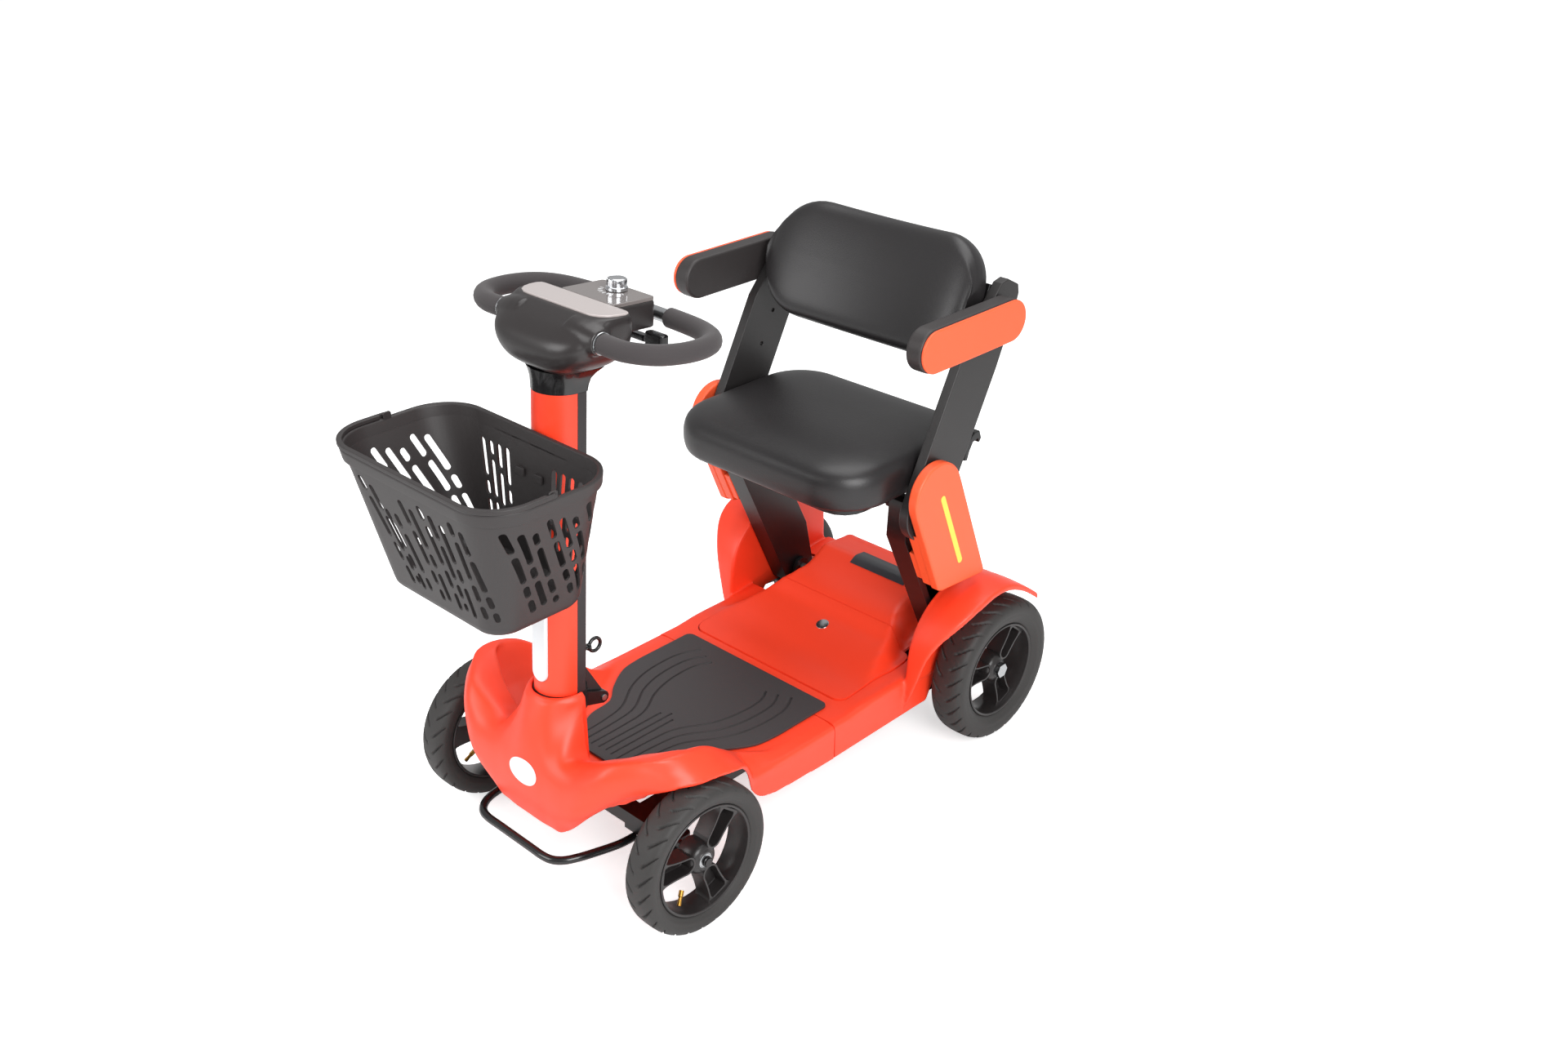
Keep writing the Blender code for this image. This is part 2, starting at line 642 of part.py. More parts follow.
def stem(head):
    """Steering shaft: arm at its foot, platform and fold ears at its top."""
    knuckle_w = (FRAMES["head_tube_axis"].inverted() @ Vector((0, FRONT_AXLE[0], FRONT_AXLE[1]))).z
    arm_high = knuckle_w - BOSS_HALF - GAP
    arm_low = arm_high - ARM_THICK
    shapes = [rod("z", STEM_R, arm_low, PLATFORM_FOOT + 0.002, sides=18),
              prism(capsule((0, 0), (0, ARM_LENGTH), 0.009, 5), "z", arm_low, arm_high),
              rod("z", ARM_PIN_R, arm_low - ARM_THICK - 0.002, arm_low + 0.002, (0, ARM_LENGTH), 12),
              rod("z", PLATFORM_R, PLATFORM_FOOT, SEAM_W - GAP, sides=24)]
    for x in (-0.0165, 0.0105):
        ear = [(0.0, PLATFORM_FOOT + 0.001), (TILLER_PIN_V, TILLER_PIN_W - 0.009)]
        ear += arc((TILLER_PIN_V, TILLER_PIN_W), 0.009, -60, 80, 4) + [(0.0, SEAM_W - 0.006)]
        shapes.append(prism(ear, "x", x, x + 0.006))
    notch = prism([(0.003, SEAM_W + 0.01), (0.003, SEAM_W - 0.009), (0.045, PLATFORM_FOOT - 0.02),
                   (0.080, PLATFORM_FOOT - 0.02), (0.080, SEAM_W + 0.01)], "x", -0.0105, 0.0105)
    pin = rod("x", TILLER_PIN_R + GAP, -0.04, 0.04, (TILLER_PIN_V, TILLER_PIN_W), 12)
    part("steering_stem", BLACK, head, shapes, [notch, pin])


def d_section(half, nose, rear, w, inset=0.0, steps=10):
    """Column section at height w: round front, straight sides and back."""
    ring = []
    for i in range(steps + 1):
        a = math.pi * i / steps
        ring.append((-(half - inset) * math.cos(a), -(nose - inset) * math.sin(a), w))
    ring += [(half - inset, rear - 0.004 - inset, w), (half - inset - 0.004, rear - inset, w),
             (-half + inset + 0.004, rear - inset, w), (-half + inset, rear - 0.004 - inset, w)]
    return ring


def tiller(head):
    pin_at = FRAMES["head_tube_axis"] @ Vector((0, TILLER_PIN_V, TILLER_PIN_W))
    fold = frame("tiller_fold_axis", head, pin_at, -RAKE)
    shift = (0, -TILLER_PIN_V, -TILLER_PIN_W)
    split = 0.0015

    core = [(-COLUMN_HALF, split), (-COLUMN_HALF, COLUMN_REAR - 0.004), (-COLUMN_HALF + 0.004, COLUMN_REAR),
            (COLUMN_HALF - 0.004, COLUMN_REAR), (COLUMN_HALF, COLUMN_REAR - 0.004), (COLUMN_HALF, split)]
    lug = [(0.004, SEAM_W + 0.001), (TILLER_PIN_V, TILLER_PIN_W - 0.009)]
    lug += arc((TILLER_PIN_V, TILLER_PIN_W), 0.009, -60, 75, 4)
    lug += [(COLUMN_REAR + 0.012, SEAM_W + 0.024), (0.004, SEAM_W + 0.030)]
    lug = [(max(v, 0.004), w) for v, w in lug]
    part("column_core", ALLOY, fold,
         [prism(core, "z", SEAM_W, COLUMN_TOP), prism(lug, "x", -0.0100, 0.0100)],
         [rod("x", TILLER_PIN_R + GAP, -0.04, 0.04, (TILLER_PIN_V, TILLER_PIN_W), 12),
          rod("y", RING_PIN_R + RUN, 0.006, 0.060, (0, RING_W), 12)],
         shift)
    outer = [(x, min(v, split - GAP), w) for x, v, w in d_section(COLUMN_HALF, COLUMN_NOSE, COLUMN_REAR,
                                                                  0)[:11]]
    section = [(x, v) for x, v, w in outer]
    thin = [(x * (1 - COVER_WALL / COLUMN_HALF), v * (1 - COVER_WALL / COLUMN_NOSE)) for x, v, w in outer]
    shell = section + list(reversed(thin))
    light_cut = prism(capsule((0, LIGHT_FOOT + LIGHT_HALF), (0, LIGHT_TOP - LIGHT_HALF), LIGHT_HALF + GAP, 6),
                      "y", -0.06, -0.020)
    part("column_cover", RED, fold, [prism(shell, "z", SEAM_W, COLUMN_TOP)], [light_cut], shift)

    lens = capsule((0, LIGHT_FOOT + LIGHT_HALF), (0, LIGHT_TOP - LIGHT_HALF), LIGHT_HALF, 6)
    part("column_light", LENS, fold, [prism(lens, "y", -COLUMN_NOSE - 0.0010, -0.0250)], (), shift)
    part("tiller_hinge_pin", STEEL, fold,
         [rod("x", TILLER_PIN_R, -0.0185, 0.0185, (TILLER_PIN_V, TILLER_PIN_W), 12)], (), shift)

    pull = frame("latch_ring_slide", fold, FRAMES["head_tube_axis"] @ Vector((0, RING_V, RING_W)), -RAKE)
    ring_path = [(0, v, w) for v, w in arc((0, 0), 0.0095, 180, 540, 12)[:-1]]
    part("latch_ring", GLOSS, pull,
         [sweep(ring_path, 0.0026, 6, True), rod("y", RING_PIN_R, 0.008 - RING_V, -0.0085, sides=12)])

    top = COLUMN_TOP - 0.022
    lever = frame("release_lever_axis", fold, FRAMES["head_tube_axis"] @ Vector((0, COLUMN_REAR + GAP, top)),
                  -RAKE)
    outline = [(0.0, 0.0), (0.0, -0.010), (0.004, -0.022), (0.007, -0.060), (0.010, -0.060), (0.015, -0.035),
               (0.012, -0.008), (0.006, 0.0)]
    part("fold_release_lever", GREY, lever, [prism(outline, "x", -0.011, 0.011)])
    return fold, shift


def head_ring(w, half, front, rear, steps=16):
    """Rounded outline of the control head at height w."""
    ring = []
    for i in range(steps):
        a = math.tau * i / steps
        c, s = math.cos(a), math.sin(a)
        x = half * math.copysign(abs(c) ** 0.75, c)
        middle, reach = (front + rear) / 2, (rear - front) / 2
        ring.append((x, middle + reach * math.copysign(abs(s) ** 0.75, s), w))
    return ring


def loop_path():
    """Centre line of both steering loops, through the head and round."""
    half = [(0.040, -0.005), (0.090, -0.010), (0.132, -0.009), (0.165, 0.014), (0.177, 0.055), (0.166, 0.095),
            (0.130, 0.118), (0.060, 0.126)]
    ring = [(x, v, LOOP_W) for x, v in half]
    return ring + [(-x, v, LOOP_W) for x, v in reversed(half)]


def control_head(fold, shift):
    neck = [d_section(COLUMN_HALF + 0.001, COLUMN_NOSE + 0.001, COLUMN_REAR + 0.001, COLUMN_TOP + GAP),
            d_section(COLUMN_HALF + 0.002, COLUMN_NOSE + 0.001, COLUMN_REAR + 0.004, COLUMN_TOP + 0.016),
            d_section(COLUMN_HALF + 0.010, COLUMN_NOSE + 0.004, COLUMN_REAR + 0.018, NECK_TOP - GAP)]
    part("neck_collar", GLOSS, fold, [loft(neck)], (), shift)

    body = [head_ring(NECK_TOP, 0.046, -0.034, 0.044), head_ring(0.664, 0.066, -0.050, 0.062),
            head_ring(0.683, 0.084, -0.056, 0.082), head_ring(0.703, 0.089, -0.044, 0.098),
            head_ring(0.719, 0.084, -0.014, 0.100), head_ring(HEAD_TOP, 0.076, 0.006, 0.098)]
    rear_box = prism(round_rect(-0.044, 0.044, 0.060, 0.1120, 0.006, 2), "z", 0.676, HEAD_TOP - 0.004)
    bore = sweep(smooth_path(loop_path(), 2, True), LOOP_TUBE_R + RUN, 8, True)
    lever_bay = box(-BAY_HALF, BAY_HALF, THROTTLE_V - 0.022, THROTTLE_V + 0.042, NECK_TOP + 0.003, BAY_TOP)
    well = rod("z", 0.0045 + RUN, HEAD_TOP - 0.027, HEAD_TOP + 0.023, (0, DIAL_V), 12)
    lever_hole = rod("z", 0.004 + RUN, THROTTLE_W + 0.002, THROTTLE_W + 0.022, (0, THROTTLE_V), 12)
    part("head_shell", GREY, fold, [loft(body), rear_box], [bore, lever_bay, well, lever_hole], shift)

    low = HEAD_TOP + GAP
    outline = round_rect(-0.070, 0.070, 0.012, 0.112, 0.018, 3)
    dial_hole = rod("z", 0.0045 + RUN, HEAD_TOP - 0.027, HEAD_TOP + 0.023, (0, DIAL_V), 12)
    part("console_panel", PANEL_GREY, fold, [prism(outline, "z", low, low + PANEL_THICK)], [dial_hole], shift)

    dial_foot = low + PANEL_THICK + GAP
    dial_at = FRAMES[fold.name] @ Vector((0, DIAL_V + shift[1], dial_foot + shift[2]))
    dial = frame("speed_dial_axis", fold, dial_at, -RAKE)
    knob = [(0.0, 0.0), (DIAL_R, 0.0), (DIAL_R, DIAL_HEIGHT * 0.3), (DIAL_R - 0.001, DIAL_HEIGHT * 0.35),
            (DIAL_R - 0.001, DIAL_HEIGHT * 0.9), (DIAL_R - 0.0025, DIAL_HEIGHT), (0.0, DIAL_HEIGHT)]
    part("speed_dial", CHROME, dial, [lathe(knob, "z", sides=18), rod("z", 0.0045, -0.014, 0.002, sides=12)])

    lever_at = FRAMES[fold.name] @ Vector((0, THROTTLE_V + shift[1], THROTTLE_W + shift[2]))
    lever = frame("throttle_axis", fold, lever_at, -RAKE)
    bar = prism(round_rect(-0.052, 0.052, -0.006, 0.006, 0.003, 2), "z", -0.004, 0.004)
    paddles = [prism(round_rect(x - 0.017, x + 0.017, -0.004, 0.010, 0.003, 2), "z", -0.014, 0.010)
               for x in (-0.064, 0.064)]
    part("throttle_lever", GLOSS, lever, [bar] + paddles + [rod("z", 0.004, 0.002, 0.016, sides=12)])

    ring = smooth_path(loop_path(), 2, True)
    part("handle_tube", STEEL, fold, [sweep(ring, LOOP_TUBE_R, 8, True)], (), shift)
    for side, name in ((1, "left"), (-1, "right")):
        kept = [p for p in smooth_path(loop_path(), 2,
                                       True) if side * p.x > 0.048 and (p.y > 0.09 or side * p.x > 0.092)]
        kept.sort(key=lambda p: math.atan2(p.y - 0.056, side * p.x - 0.10))
        part(f"grip_{name}", FOAM, fold, [sweep(kept, GRIP_R, 10)],
             [sweep(smooth_path(loop_path(), 2, True), LOOP_TUBE_R + RUN, 8, True)], shift)


def column_front(z):
    """Where the column's nose stands at height z."""
    return HEAD_BASE[1] + (z - HEAD_BASE[2]) * math.tan(RAKE) - COLUMN_NOSE / math.cos(RAKE)


def basket_ring(z, half, front, inset, radius, steps=4):
    """Level outline; its rear side keeps the basket's distance from the column."""
    rear = column_front(z) - BASKET_GAP - inset
    return [(x, y, z) for x, y in round_rect(-half, half, front, rear, radius, steps)]


def slot(a, b, half):
    """Slanted slot outline between two points."""
    return [(a[0] - half, a[1]), (b[0] - half, b[1]), (b[0] + half, b[1]), (a[0] + half, a[1])]


def wall_slots():
    """Slanted slots through the front and both side walls."""
    cuts = []
    lean = math.tan(SLOT_LEAN)
    for row, z in enumerate(SLOT_ROWS):
        length = SLOT_LENGTH / 2 if row < 2 else SLOT_LENGTH * 0.2
        count = (5, 6, 6)[row]
        for i in range(count):
            x = (i - (count - 1) / 2) * 0.036
            outline = slot((x - lean * length, z + length), (x + lean * length, z - length), SLOT_WIDTH / 2)
            cuts.append(prism(outline, "y", BASKET_FRONT - 0.03, BASKET_FRONT + 0.065))
        for i in range(3):
            y = BASKET_MID + (i - 1) * 0.034
            outline = slot((y - lean * length, z + length), (y + lean * length, z - length), SLOT_WIDTH / 2)
            cuts.append(prism(outline, "x", -0.25, 0.25))
    return cuts


def joined(builds):
    """Several shapes that do not touch, cut out in one go."""
    def build(bm):
        for each in builds:
            piece = bmesh.new()
            each(piece)
            turn_outwards(piece)
            mesh = bpy.data.meshes.new("slot")
            piece.to_mesh(mesh)
            piece.free()
            bm.from_mesh(mesh)
            bpy.data.meshes.remove(mesh)
    return build


def keyhole(x):
    """Window in the basket's rear wall: narrow above, wide enough for the peg's head below."""
    narrow, wide = PEG_HALF + 0.001, PEG_HEAD_HALF + 0.001
    low = PEG_LOW - 0.040
    neck = PEG_LOW - 0.018
    return [(x - wide, low), (x + wide, low), (x + wide, neck), (x + narrow, neck + 0.004),
            (x + narrow, PEG_HIGH + GAP), (x - narrow, PEG_HIGH + GAP), (x - narrow, neck + 0.004), (x - wide,
                                                                                                     neck)]


def basket(fold, shift):
    holder = frame("basket_hook", fold, (0, 0, 0))
    wall = BASKET_WALL
    top = BASKET_TOP
    rim = BASKET_RIM
    foot_half, foot_front = BASKET_FOOT_HALF, BASKET_FOOT_FRONT
    lip = top - RIM_DROP
    lip_half, lip_front = BASKET_HALF - 0.004, BASKET_FRONT + 0.003
    rings = [basket_ring(BASKET_FLOOR, foot_half - 0.012, foot_front + 0.012, 0.014, 0.030),
             basket_ring(BASKET_FLOOR + 0.012, foot_half, foot_front, 0.0, 0.036),
             basket_ring(lip, lip_half, lip_front, 0.0, 0.056),
             basket_ring(lip, lip_half + rim, lip_front - rim, -rim, 0.058),
             basket_ring(top, BASKET_HALF + rim, BASKET_FRONT - rim, -rim, 0.060),
             basket_ring(top, BASKET_HALF - wall, BASKET_FRONT + wall, wall, 0.053),
             basket_ring(lip, lip_half - wall, lip_front + wall, wall, 0.053),
             basket_ring(BASKET_FLOOR + 0.013, foot_half - wall, foot_front + wall, wall, 0.033),
             basket_ring(BASKET_FLOOR + 0.003, foot_half - 0.014, foot_front + 0.014, 0.016, 0.028)]
    windows = [moved(FRAMES["head_tube_axis"], prism(keyhole(x), "y", -0.070, -0.030)) for x in (-PEG_X,
                                                                                                 PEG_X)]
    pivot_z = top + GAP + STRAP_HALF
    pivot_hole = rod("x", BAIL_PIN_R + GAP, -0.25, 0.25, (BASKET_MID, pivot_z), 10)
    ears = []
    for side in (-1, 1):
        e0, e1 = sorted((side * EAR_IN, side * (EAR_IN + EAR_WIDTH)))
        ears.append(box(e0, e1, BASKET_MID - 0.006, BASKET_MID + 0.006, top - 0.006, pivot_z + 0.0045))
    part("basket", GREY, holder, [loft(rings)] + ears, [joined(wall_slots())] + windows + [pivot_hole])
    bail_handle(holder, pivot_z)

    plate_rear = -COLUMN_NOSE + 0.006
    wall_v = -COLUMN_NOSE - BASKET_GAP * math.cos(RAKE)
    plate = round_rect(-0.030, 0.030, PEG_LOW - 0.060, PEG_HIGH + 0.012, 0.006, 2)
    shapes = [prism(plate, "y", wall_v + GAP, plate_rear)]
    head_rear = wall_v - wall - 0.0008
    for x in (-PEG_X, PEG_X):
        shapes.append(box(x - PEG_HALF, x + PEG_HALF, head_rear - 0.002, wall_v + 0.002, PEG_LOW, PEG_HIGH))
        shapes.append(box(x - PEG_HEAD_HALF, x + PEG_HEAD_HALF, head_rear - 0.003, head_rear, PEG_LOW,
                          PEG_HIGH))
    room = loft([d_section(COLUMN_HALF + GAP, COLUMN_NOSE + GAP, COLUMN_REAR, w)
                 for w in (PEG_LOW - 0.10, PEG_HIGH + 0.05)])
    part("basket_bracket", GREY, fold, shapes, [room], shift)


def bail_handle(holder, pivot_z):
    """Carrying strap that lies on the front half of the rim."""
    bail = frame("basket_handle_axis", holder, (0, BASKET_MID, pivot_z))
    half, front = BASKET_HALF + BASKET_RIM, BASKET_FRONT - BASKET_RIM - BASKET_MID
    radius = 0.060
    arm_in = EAR_IN + EAR_WIDTH + GAP
    strap = []
    for inset in (0.0, BASKET_RIM + BASKET_WALL):
        line = [(half, 0.0)] if inset == 0.0 else [(arm_in, 0.0), (arm_in, -0.009), (half - inset, -0.010)]
        line += [(half - radius + (radius - inset) * math.cos(a),
                  front + radius - (radius - inset) * math.sin(a))
                 for a in (math.pi / 2 * i / 6 for i in range(7))]
        line += [(-x, y) for x, y in reversed(line)]
        strap += line if inset == 0.0 else list(reversed(line))
    shapes = [prism(strap, "z", -STRAP_HALF, STRAP_HALF)]
    for side in (-1, 1):
        p0, p1 = sorted((side * (EAR_IN + 0.0005), side * (half - 0.0005)))
        shapes.append(rod("x", BAIL_PIN_R, p0, p1, (0, 0), 10))
    part("basket_handle", GREY, bail, shapes)


EDGE_X = ((-0.385, 0.150), (-0.345, 0.170), (-0.280, 0.165), (-0.229, 0.163), (-0.205, 0.168), (-0.190,
                                                                                                0.178),
          (-0.172, DECK_HALF))
EDGE_Z = ((-0.385, 0.214), (-0.345, 0.197), (-0.300, 0.181), (-0.240, 0.156), (-0.210, 0.147), (-0.172,
                                                                                                0.138))
CREST_X = ((-0.385, 0.118), (-0.345, 0.128), (-0.290, 0.132), (-0.240, 0.136), (-0.200, 0.148), (-0.160,
                                                                                                 0.166))
CREST_Z = ((-0.385, 0.280), (-0.350, 0.248), (-0.310, 0.222), (-0.270, 0.199), (-0.230, 0.176), (-0.190,
                                                                                                 0.155),
           (-0.160, DECK_Z + 0.003), (-0.120, DECK_Z))
FLOOR_X = ((-0.385, 0.050), (-0.310, 0.062), (-0.270, 0.072), (-0.240, 0.086), (-0.200, 0.100), (-0.160,
                                                                                                 0.126),
           (-0.120, 0.150))
HEM_Z = ((-0.215, 0.140), (-0.190, 0.135), (-0.176, 0.128), (-0.160, 0.110), (-0.141, 0.094), (-0.060, 0.086),
         (0.0, SKIRT_Z - 0.003))


def floor_profile(y):
    """Half section of the front shell at y, from the middle outwards."""
    floor = DECK_Z - 0.001
    inner, crest, edge = interpolate(FLOOR_X, y), interpolate(CREST_X, y), interpolate(EDGE_X, y)
    crest_z, edge_z = interpolate(CREST_Z, y), interpolate(EDGE_Z, y)
    hem = edge_z - 0.008 if y < -0.215 else min(interpolate(HEM_Z, y), edge_z - 0.008)
    return [(0, y, floor), (inner, y, floor + 0.001),
            (inner * 0.35 + crest * 0.65, y, floor * 0.35 + crest_z * 0.65), (crest, y, crest_z),
            (crest * 0.45 + edge * 0.55, y, crest_z * 0.52 + edge_z * 0.48), (edge, y, edge_z),
            (edge - 0.0005, y, hem)]


SHIELD = (
    ((0.000, -0.414, 0.112), (0.000, -0.424, 0.150), (0.000, -0.424, 0.200), (0.000, -0.410, 0.250),
     (0.000, -0.3895, 0.2895)),
    ((0.030, -0.414, 0.112), (0.030, -0.424, 0.150), (0.030, -0.423, 0.200), (0.030, -0.406, 0.248),
     (0.029, -0.380, 0.2895)),
    ((0.055, -0.412, 0.112), (0.056, -0.423, 0.150), (0.057, -0.420, 0.200), (0.055, -0.398, 0.242),
     (0.047, -0.352, 0.2895)),
    ((0.080, -0.408, 0.114), (0.085, -0.421, 0.152), (0.088, -0.417, 0.203), (0.085, -0.404, 0.252),
     (0.076, -0.372, 0.305)),
    ((0.098, -0.398, 0.126), (0.108, -0.412, 0.160), (0.115, -0.410, 0.210), (0.112, -0.403, 0.262),
     (0.100, -0.384, 0.330)),
    ((0.113, -0.380, 0.145), (0.126, -0.398, 0.172), (0.134, -0.398, 0.215), (0.132, -0.396, 0.262),
     (0.122, -0.386, 0.308)),
    ((0.128, -0.352, 0.163), (0.142, -0.375, 0.184), (0.148, -0.380, 0.213), (0.143, -0.382, 0.245),
     (0.136, -0.378, 0.272)),
    ((0.150, -0.320, 0.175), (0.160, -0.345, 0.191), (0.161, -0.350, 0.205), (0.149, -0.350, 0.226),
     (0.138, -0.348, 0.242)),
)


def front_shell():
    rows = [both_sides(floor_profile(y)) for y in (-0.385, -0.350, -0.31, -0.27, -0.24, -0.21, -0.19, -0.174,
                                                   -0.158,
                                                   -0.141, -0.10, SPLIT_Y)]
    shield = [both_sides([column[level] for column in SHIELD]) for level in range(5)]
    centre = (0, HEAD_BASE[1] + 0.0165)
    tower = arc(centre, 0.0455, 170, 370, 10)
    inner = arc(centre, 0.0415, 170, 370, 10)
    tower_solid = prism(tower + list(reversed(inner)), "z", DECK_Z - 0.003, 0.2895)
    stem_hole = rod("z", 0.041, 0.10, 0.20, centre, 20)
    beam_room = box(-0.20, 0.20, -0.34, -0.28, 0.05, 0.138)
    part("front_shell", RED, ROOT, [sheet(rows, SHELL_WALL), sheet(shield, SHELL_WALL), tower_solid],
         [stem_hole, beam_room])


def deck_height(x, y):
    """Top of the rear shell: flat deck, rising lid and hump, with leg wells."""
    along = interpolate(((0.03, DECK_Z), (0.10, DECK_Z + 0.006), (0.18, DECK_Z + 0.030), (0.215,
                                                                                          DECK_Z + 0.050),
                         (0.255, HUMP_Z - 0.018), (0.285, HUMP_Z), (0.345, HUMP_Z - 0.006), (TAIL_Y,
                                                                                             HUMP_Z - 0.056)),
                        y)
    well = interpolate(((0.17, DECK_Z + 0.004), (0.26, DECK_Z + 0.015), (TAIL_Y, DECK_Z + 0.026)), y)
    width = interpolate(((0.10, 0.150), (0.19, 0.120), (0.24, 0.098)), y)
    share = min(max((width + 0.024 - abs(x)) / 0.024, 0.0), 1.0)
    return well + (along - well) * share if along > well else along


DECK_COLUMNS = (0.0, 0.09, 0.110, 0.128, 0.140, 0.152, 0.168)


def rear_profile(y):
    side = DECK_HALF
    hem = interpolate(((0.205, SKIRT_Z), (0.235, 0.135)), y)
    crown = [(x, y, deck_height(x, y)) for x in DECK_COLUMNS]
    edge = deck_height(DECK_HALF, y)
    return crown + [(side - 0.006, y, edge - 0.003), (side, y, edge - 0.012), (side, y, hem)]


def fender(side):
    """Mudguard over a rear wheel, with its inner wall on the deck."""
    inner = DECK_HALF - 0.0015
    line = ((0.149, 0.118), (0.152, 0.150), (0.158, 0.200), (0.172, 0.232), (0.195, 0.256), (0.225, 0.272),
            (0.262, 0.280), (0.300, 0.279), (0.340, 0.262), (0.380, 0.233))
    rows = []
    for y, z in line:
        reach = interpolate(((0.149, DECK_HALF + 0.006), (0.152, DECK_HALF + 0.018), (0.172,
                                                                                      DECK_HALF + 0.048),
                             (0.200, FENDER_OUT - 0.004), (0.225, FENDER_OUT), (TAIL_Y, FENDER_OUT)), y)
        rows.append([(side * inner, y, min(0.132, z - 0.026)), (side * inner, y, z - 0.012),
                     (side * (inner + 0.008 * (reach - inner) / 0.08), y, z - 0.002),
                     (side * (inner + (reach - inner) * 0.6), y, z), (side * (reach - 0.004), y, z - 0.002),
                     (side * reach, y, z - 0.010)])
    return sheet(rows, SHELL_WALL)


def rear_shell():
    rows = [both_sides(rear_profile(y)) for y in (SPLIT_Y + LID_GAP, 0.03, 0.10, 0.14, 0.18, 0.205, 0.235,
                                                  0.262,
                                                  0.285, 0.315, 0.345, TAIL_Y)]
    lid = box(-LID_HALF, LID_HALF, LID_FRONT, LID_REAR, DECK_Z - 0.018, HUMP_Z + 0.074)
    cuts = [lid, rod("x", PIVOT_R + 0.003, -0.2, 0.2, LEG_PIVOT, 12)]
    for side in (-1, 1):
        x0, x1 = sorted((side * (LEG_IN - 0.0105), side * (LEG_OUT + 0.0020)))
        cuts.append(box(x0, x1, LEG_PIVOT[0] - 0.075, LEG_PIVOT[0] + 0.052, 0.100, 0.200))
    back = prism([(x, z) for x, y, z in rows[-1]], "y", TAIL_Y - 0.002, TAIL_Y + 0.002)
    part("rear_shell", RED, ROOT, [sheet(rows, SHELL_WALL), fender(1), fender(-1), back], cuts,
         solver="MANIFOLD")

    inset = LID_GAP
    lid_rows = []
    for y in (LID_FRONT + inset, 0.10, 0.14, 0.18, LID_REAR + 0.006):
        xs = [x for x in DECK_COLUMNS if x < LID_HALF - 0.004] + [LID_HALF - inset]
        lid_rows.append(both_sides([(x, y, deck_height(x, y)) for x in xs]))
    hinge = frame("battery_cover_axis", ROOT, (0, LID_FRONT + LID_GAP, DECK_Z))
    at = local(hinge, (0, 0, 0))
    lock_y, reach = 0.160, 0.015
    slope = math.atan((deck_height(0, lock_y + reach) - deck_height(0, lock_y - reach)) / (2 * reach))
    lock = frame("cover_lock_axis", hinge, (0.012, lock_y, deck_height(0, lock_y)), slope)
    lock_hole = moved(FRAMES["cover_lock_axis"], rod("z", 0.0080 + RUN, -0.03, 0.03, sides=12))
    rear_trim = box(-LID_HALF, LID_HALF, LID_REAR - inset, LID_REAR + 0.05, DECK_Z - 0.043, HUMP_Z + 0.074)
    under = DECK_Z - SHELL_WALL - GAP
    tongues = []
    for x in (-TONGUE_X, TONGUE_X):
        tongue = [(LID_FRONT - 0.008, under - TONGUE_THICK), (LID_FRONT + 0.010, under - TONGUE_THICK),
                  (LID_FRONT + 0.010, under + 0.002), (LID_FRONT + 0.004, under + 0.002), (LID_FRONT + 0.004,
                                                                                           under),
                  (LID_FRONT - 0.008, under)]
        tongues.append(prism(tongue, "x", x - TONGUE_X * 0.15, x + TONGUE_X * 0.15))
    part("battery_cover", RED, hinge, [sheet(lid_rows, SHELL_WALL)] + tongues, [lock_hole, rear_trim], at)
    barrel = [(0.0, -0.016), (0.0080, -0.016), (0.0080, 0.0010), (0.0105, 0.0014), (0.0105, 0.0026), (0.0,
                                                                                                      0.0030)]
    part("cover_lock", CHROME, lock, [lathe(barrel, "z", sides=12), box(-0.004, 0.020, -0.004, 0.004, -0.018,
                                                                        -0.014)])


def floor_mat():
    outline = [(-0.058, -0.292), (-0.070, -0.262), (-0.086, -0.230), (-0.092, -0.190), (-0.118, -0.160),
               (-0.142, -0.120), (-0.148, -0.080)]
    outline += arc((-0.138, 0.014), 0.011, 180, 90, 4)
    outline += [(-x, y) for x, y in reversed(outline)]
    part("floor_mat", MAT_RUBBER, ROOT, [prism(outline, "z", DECK_Z + GAP, DECK_Z + MAT_THICK)])


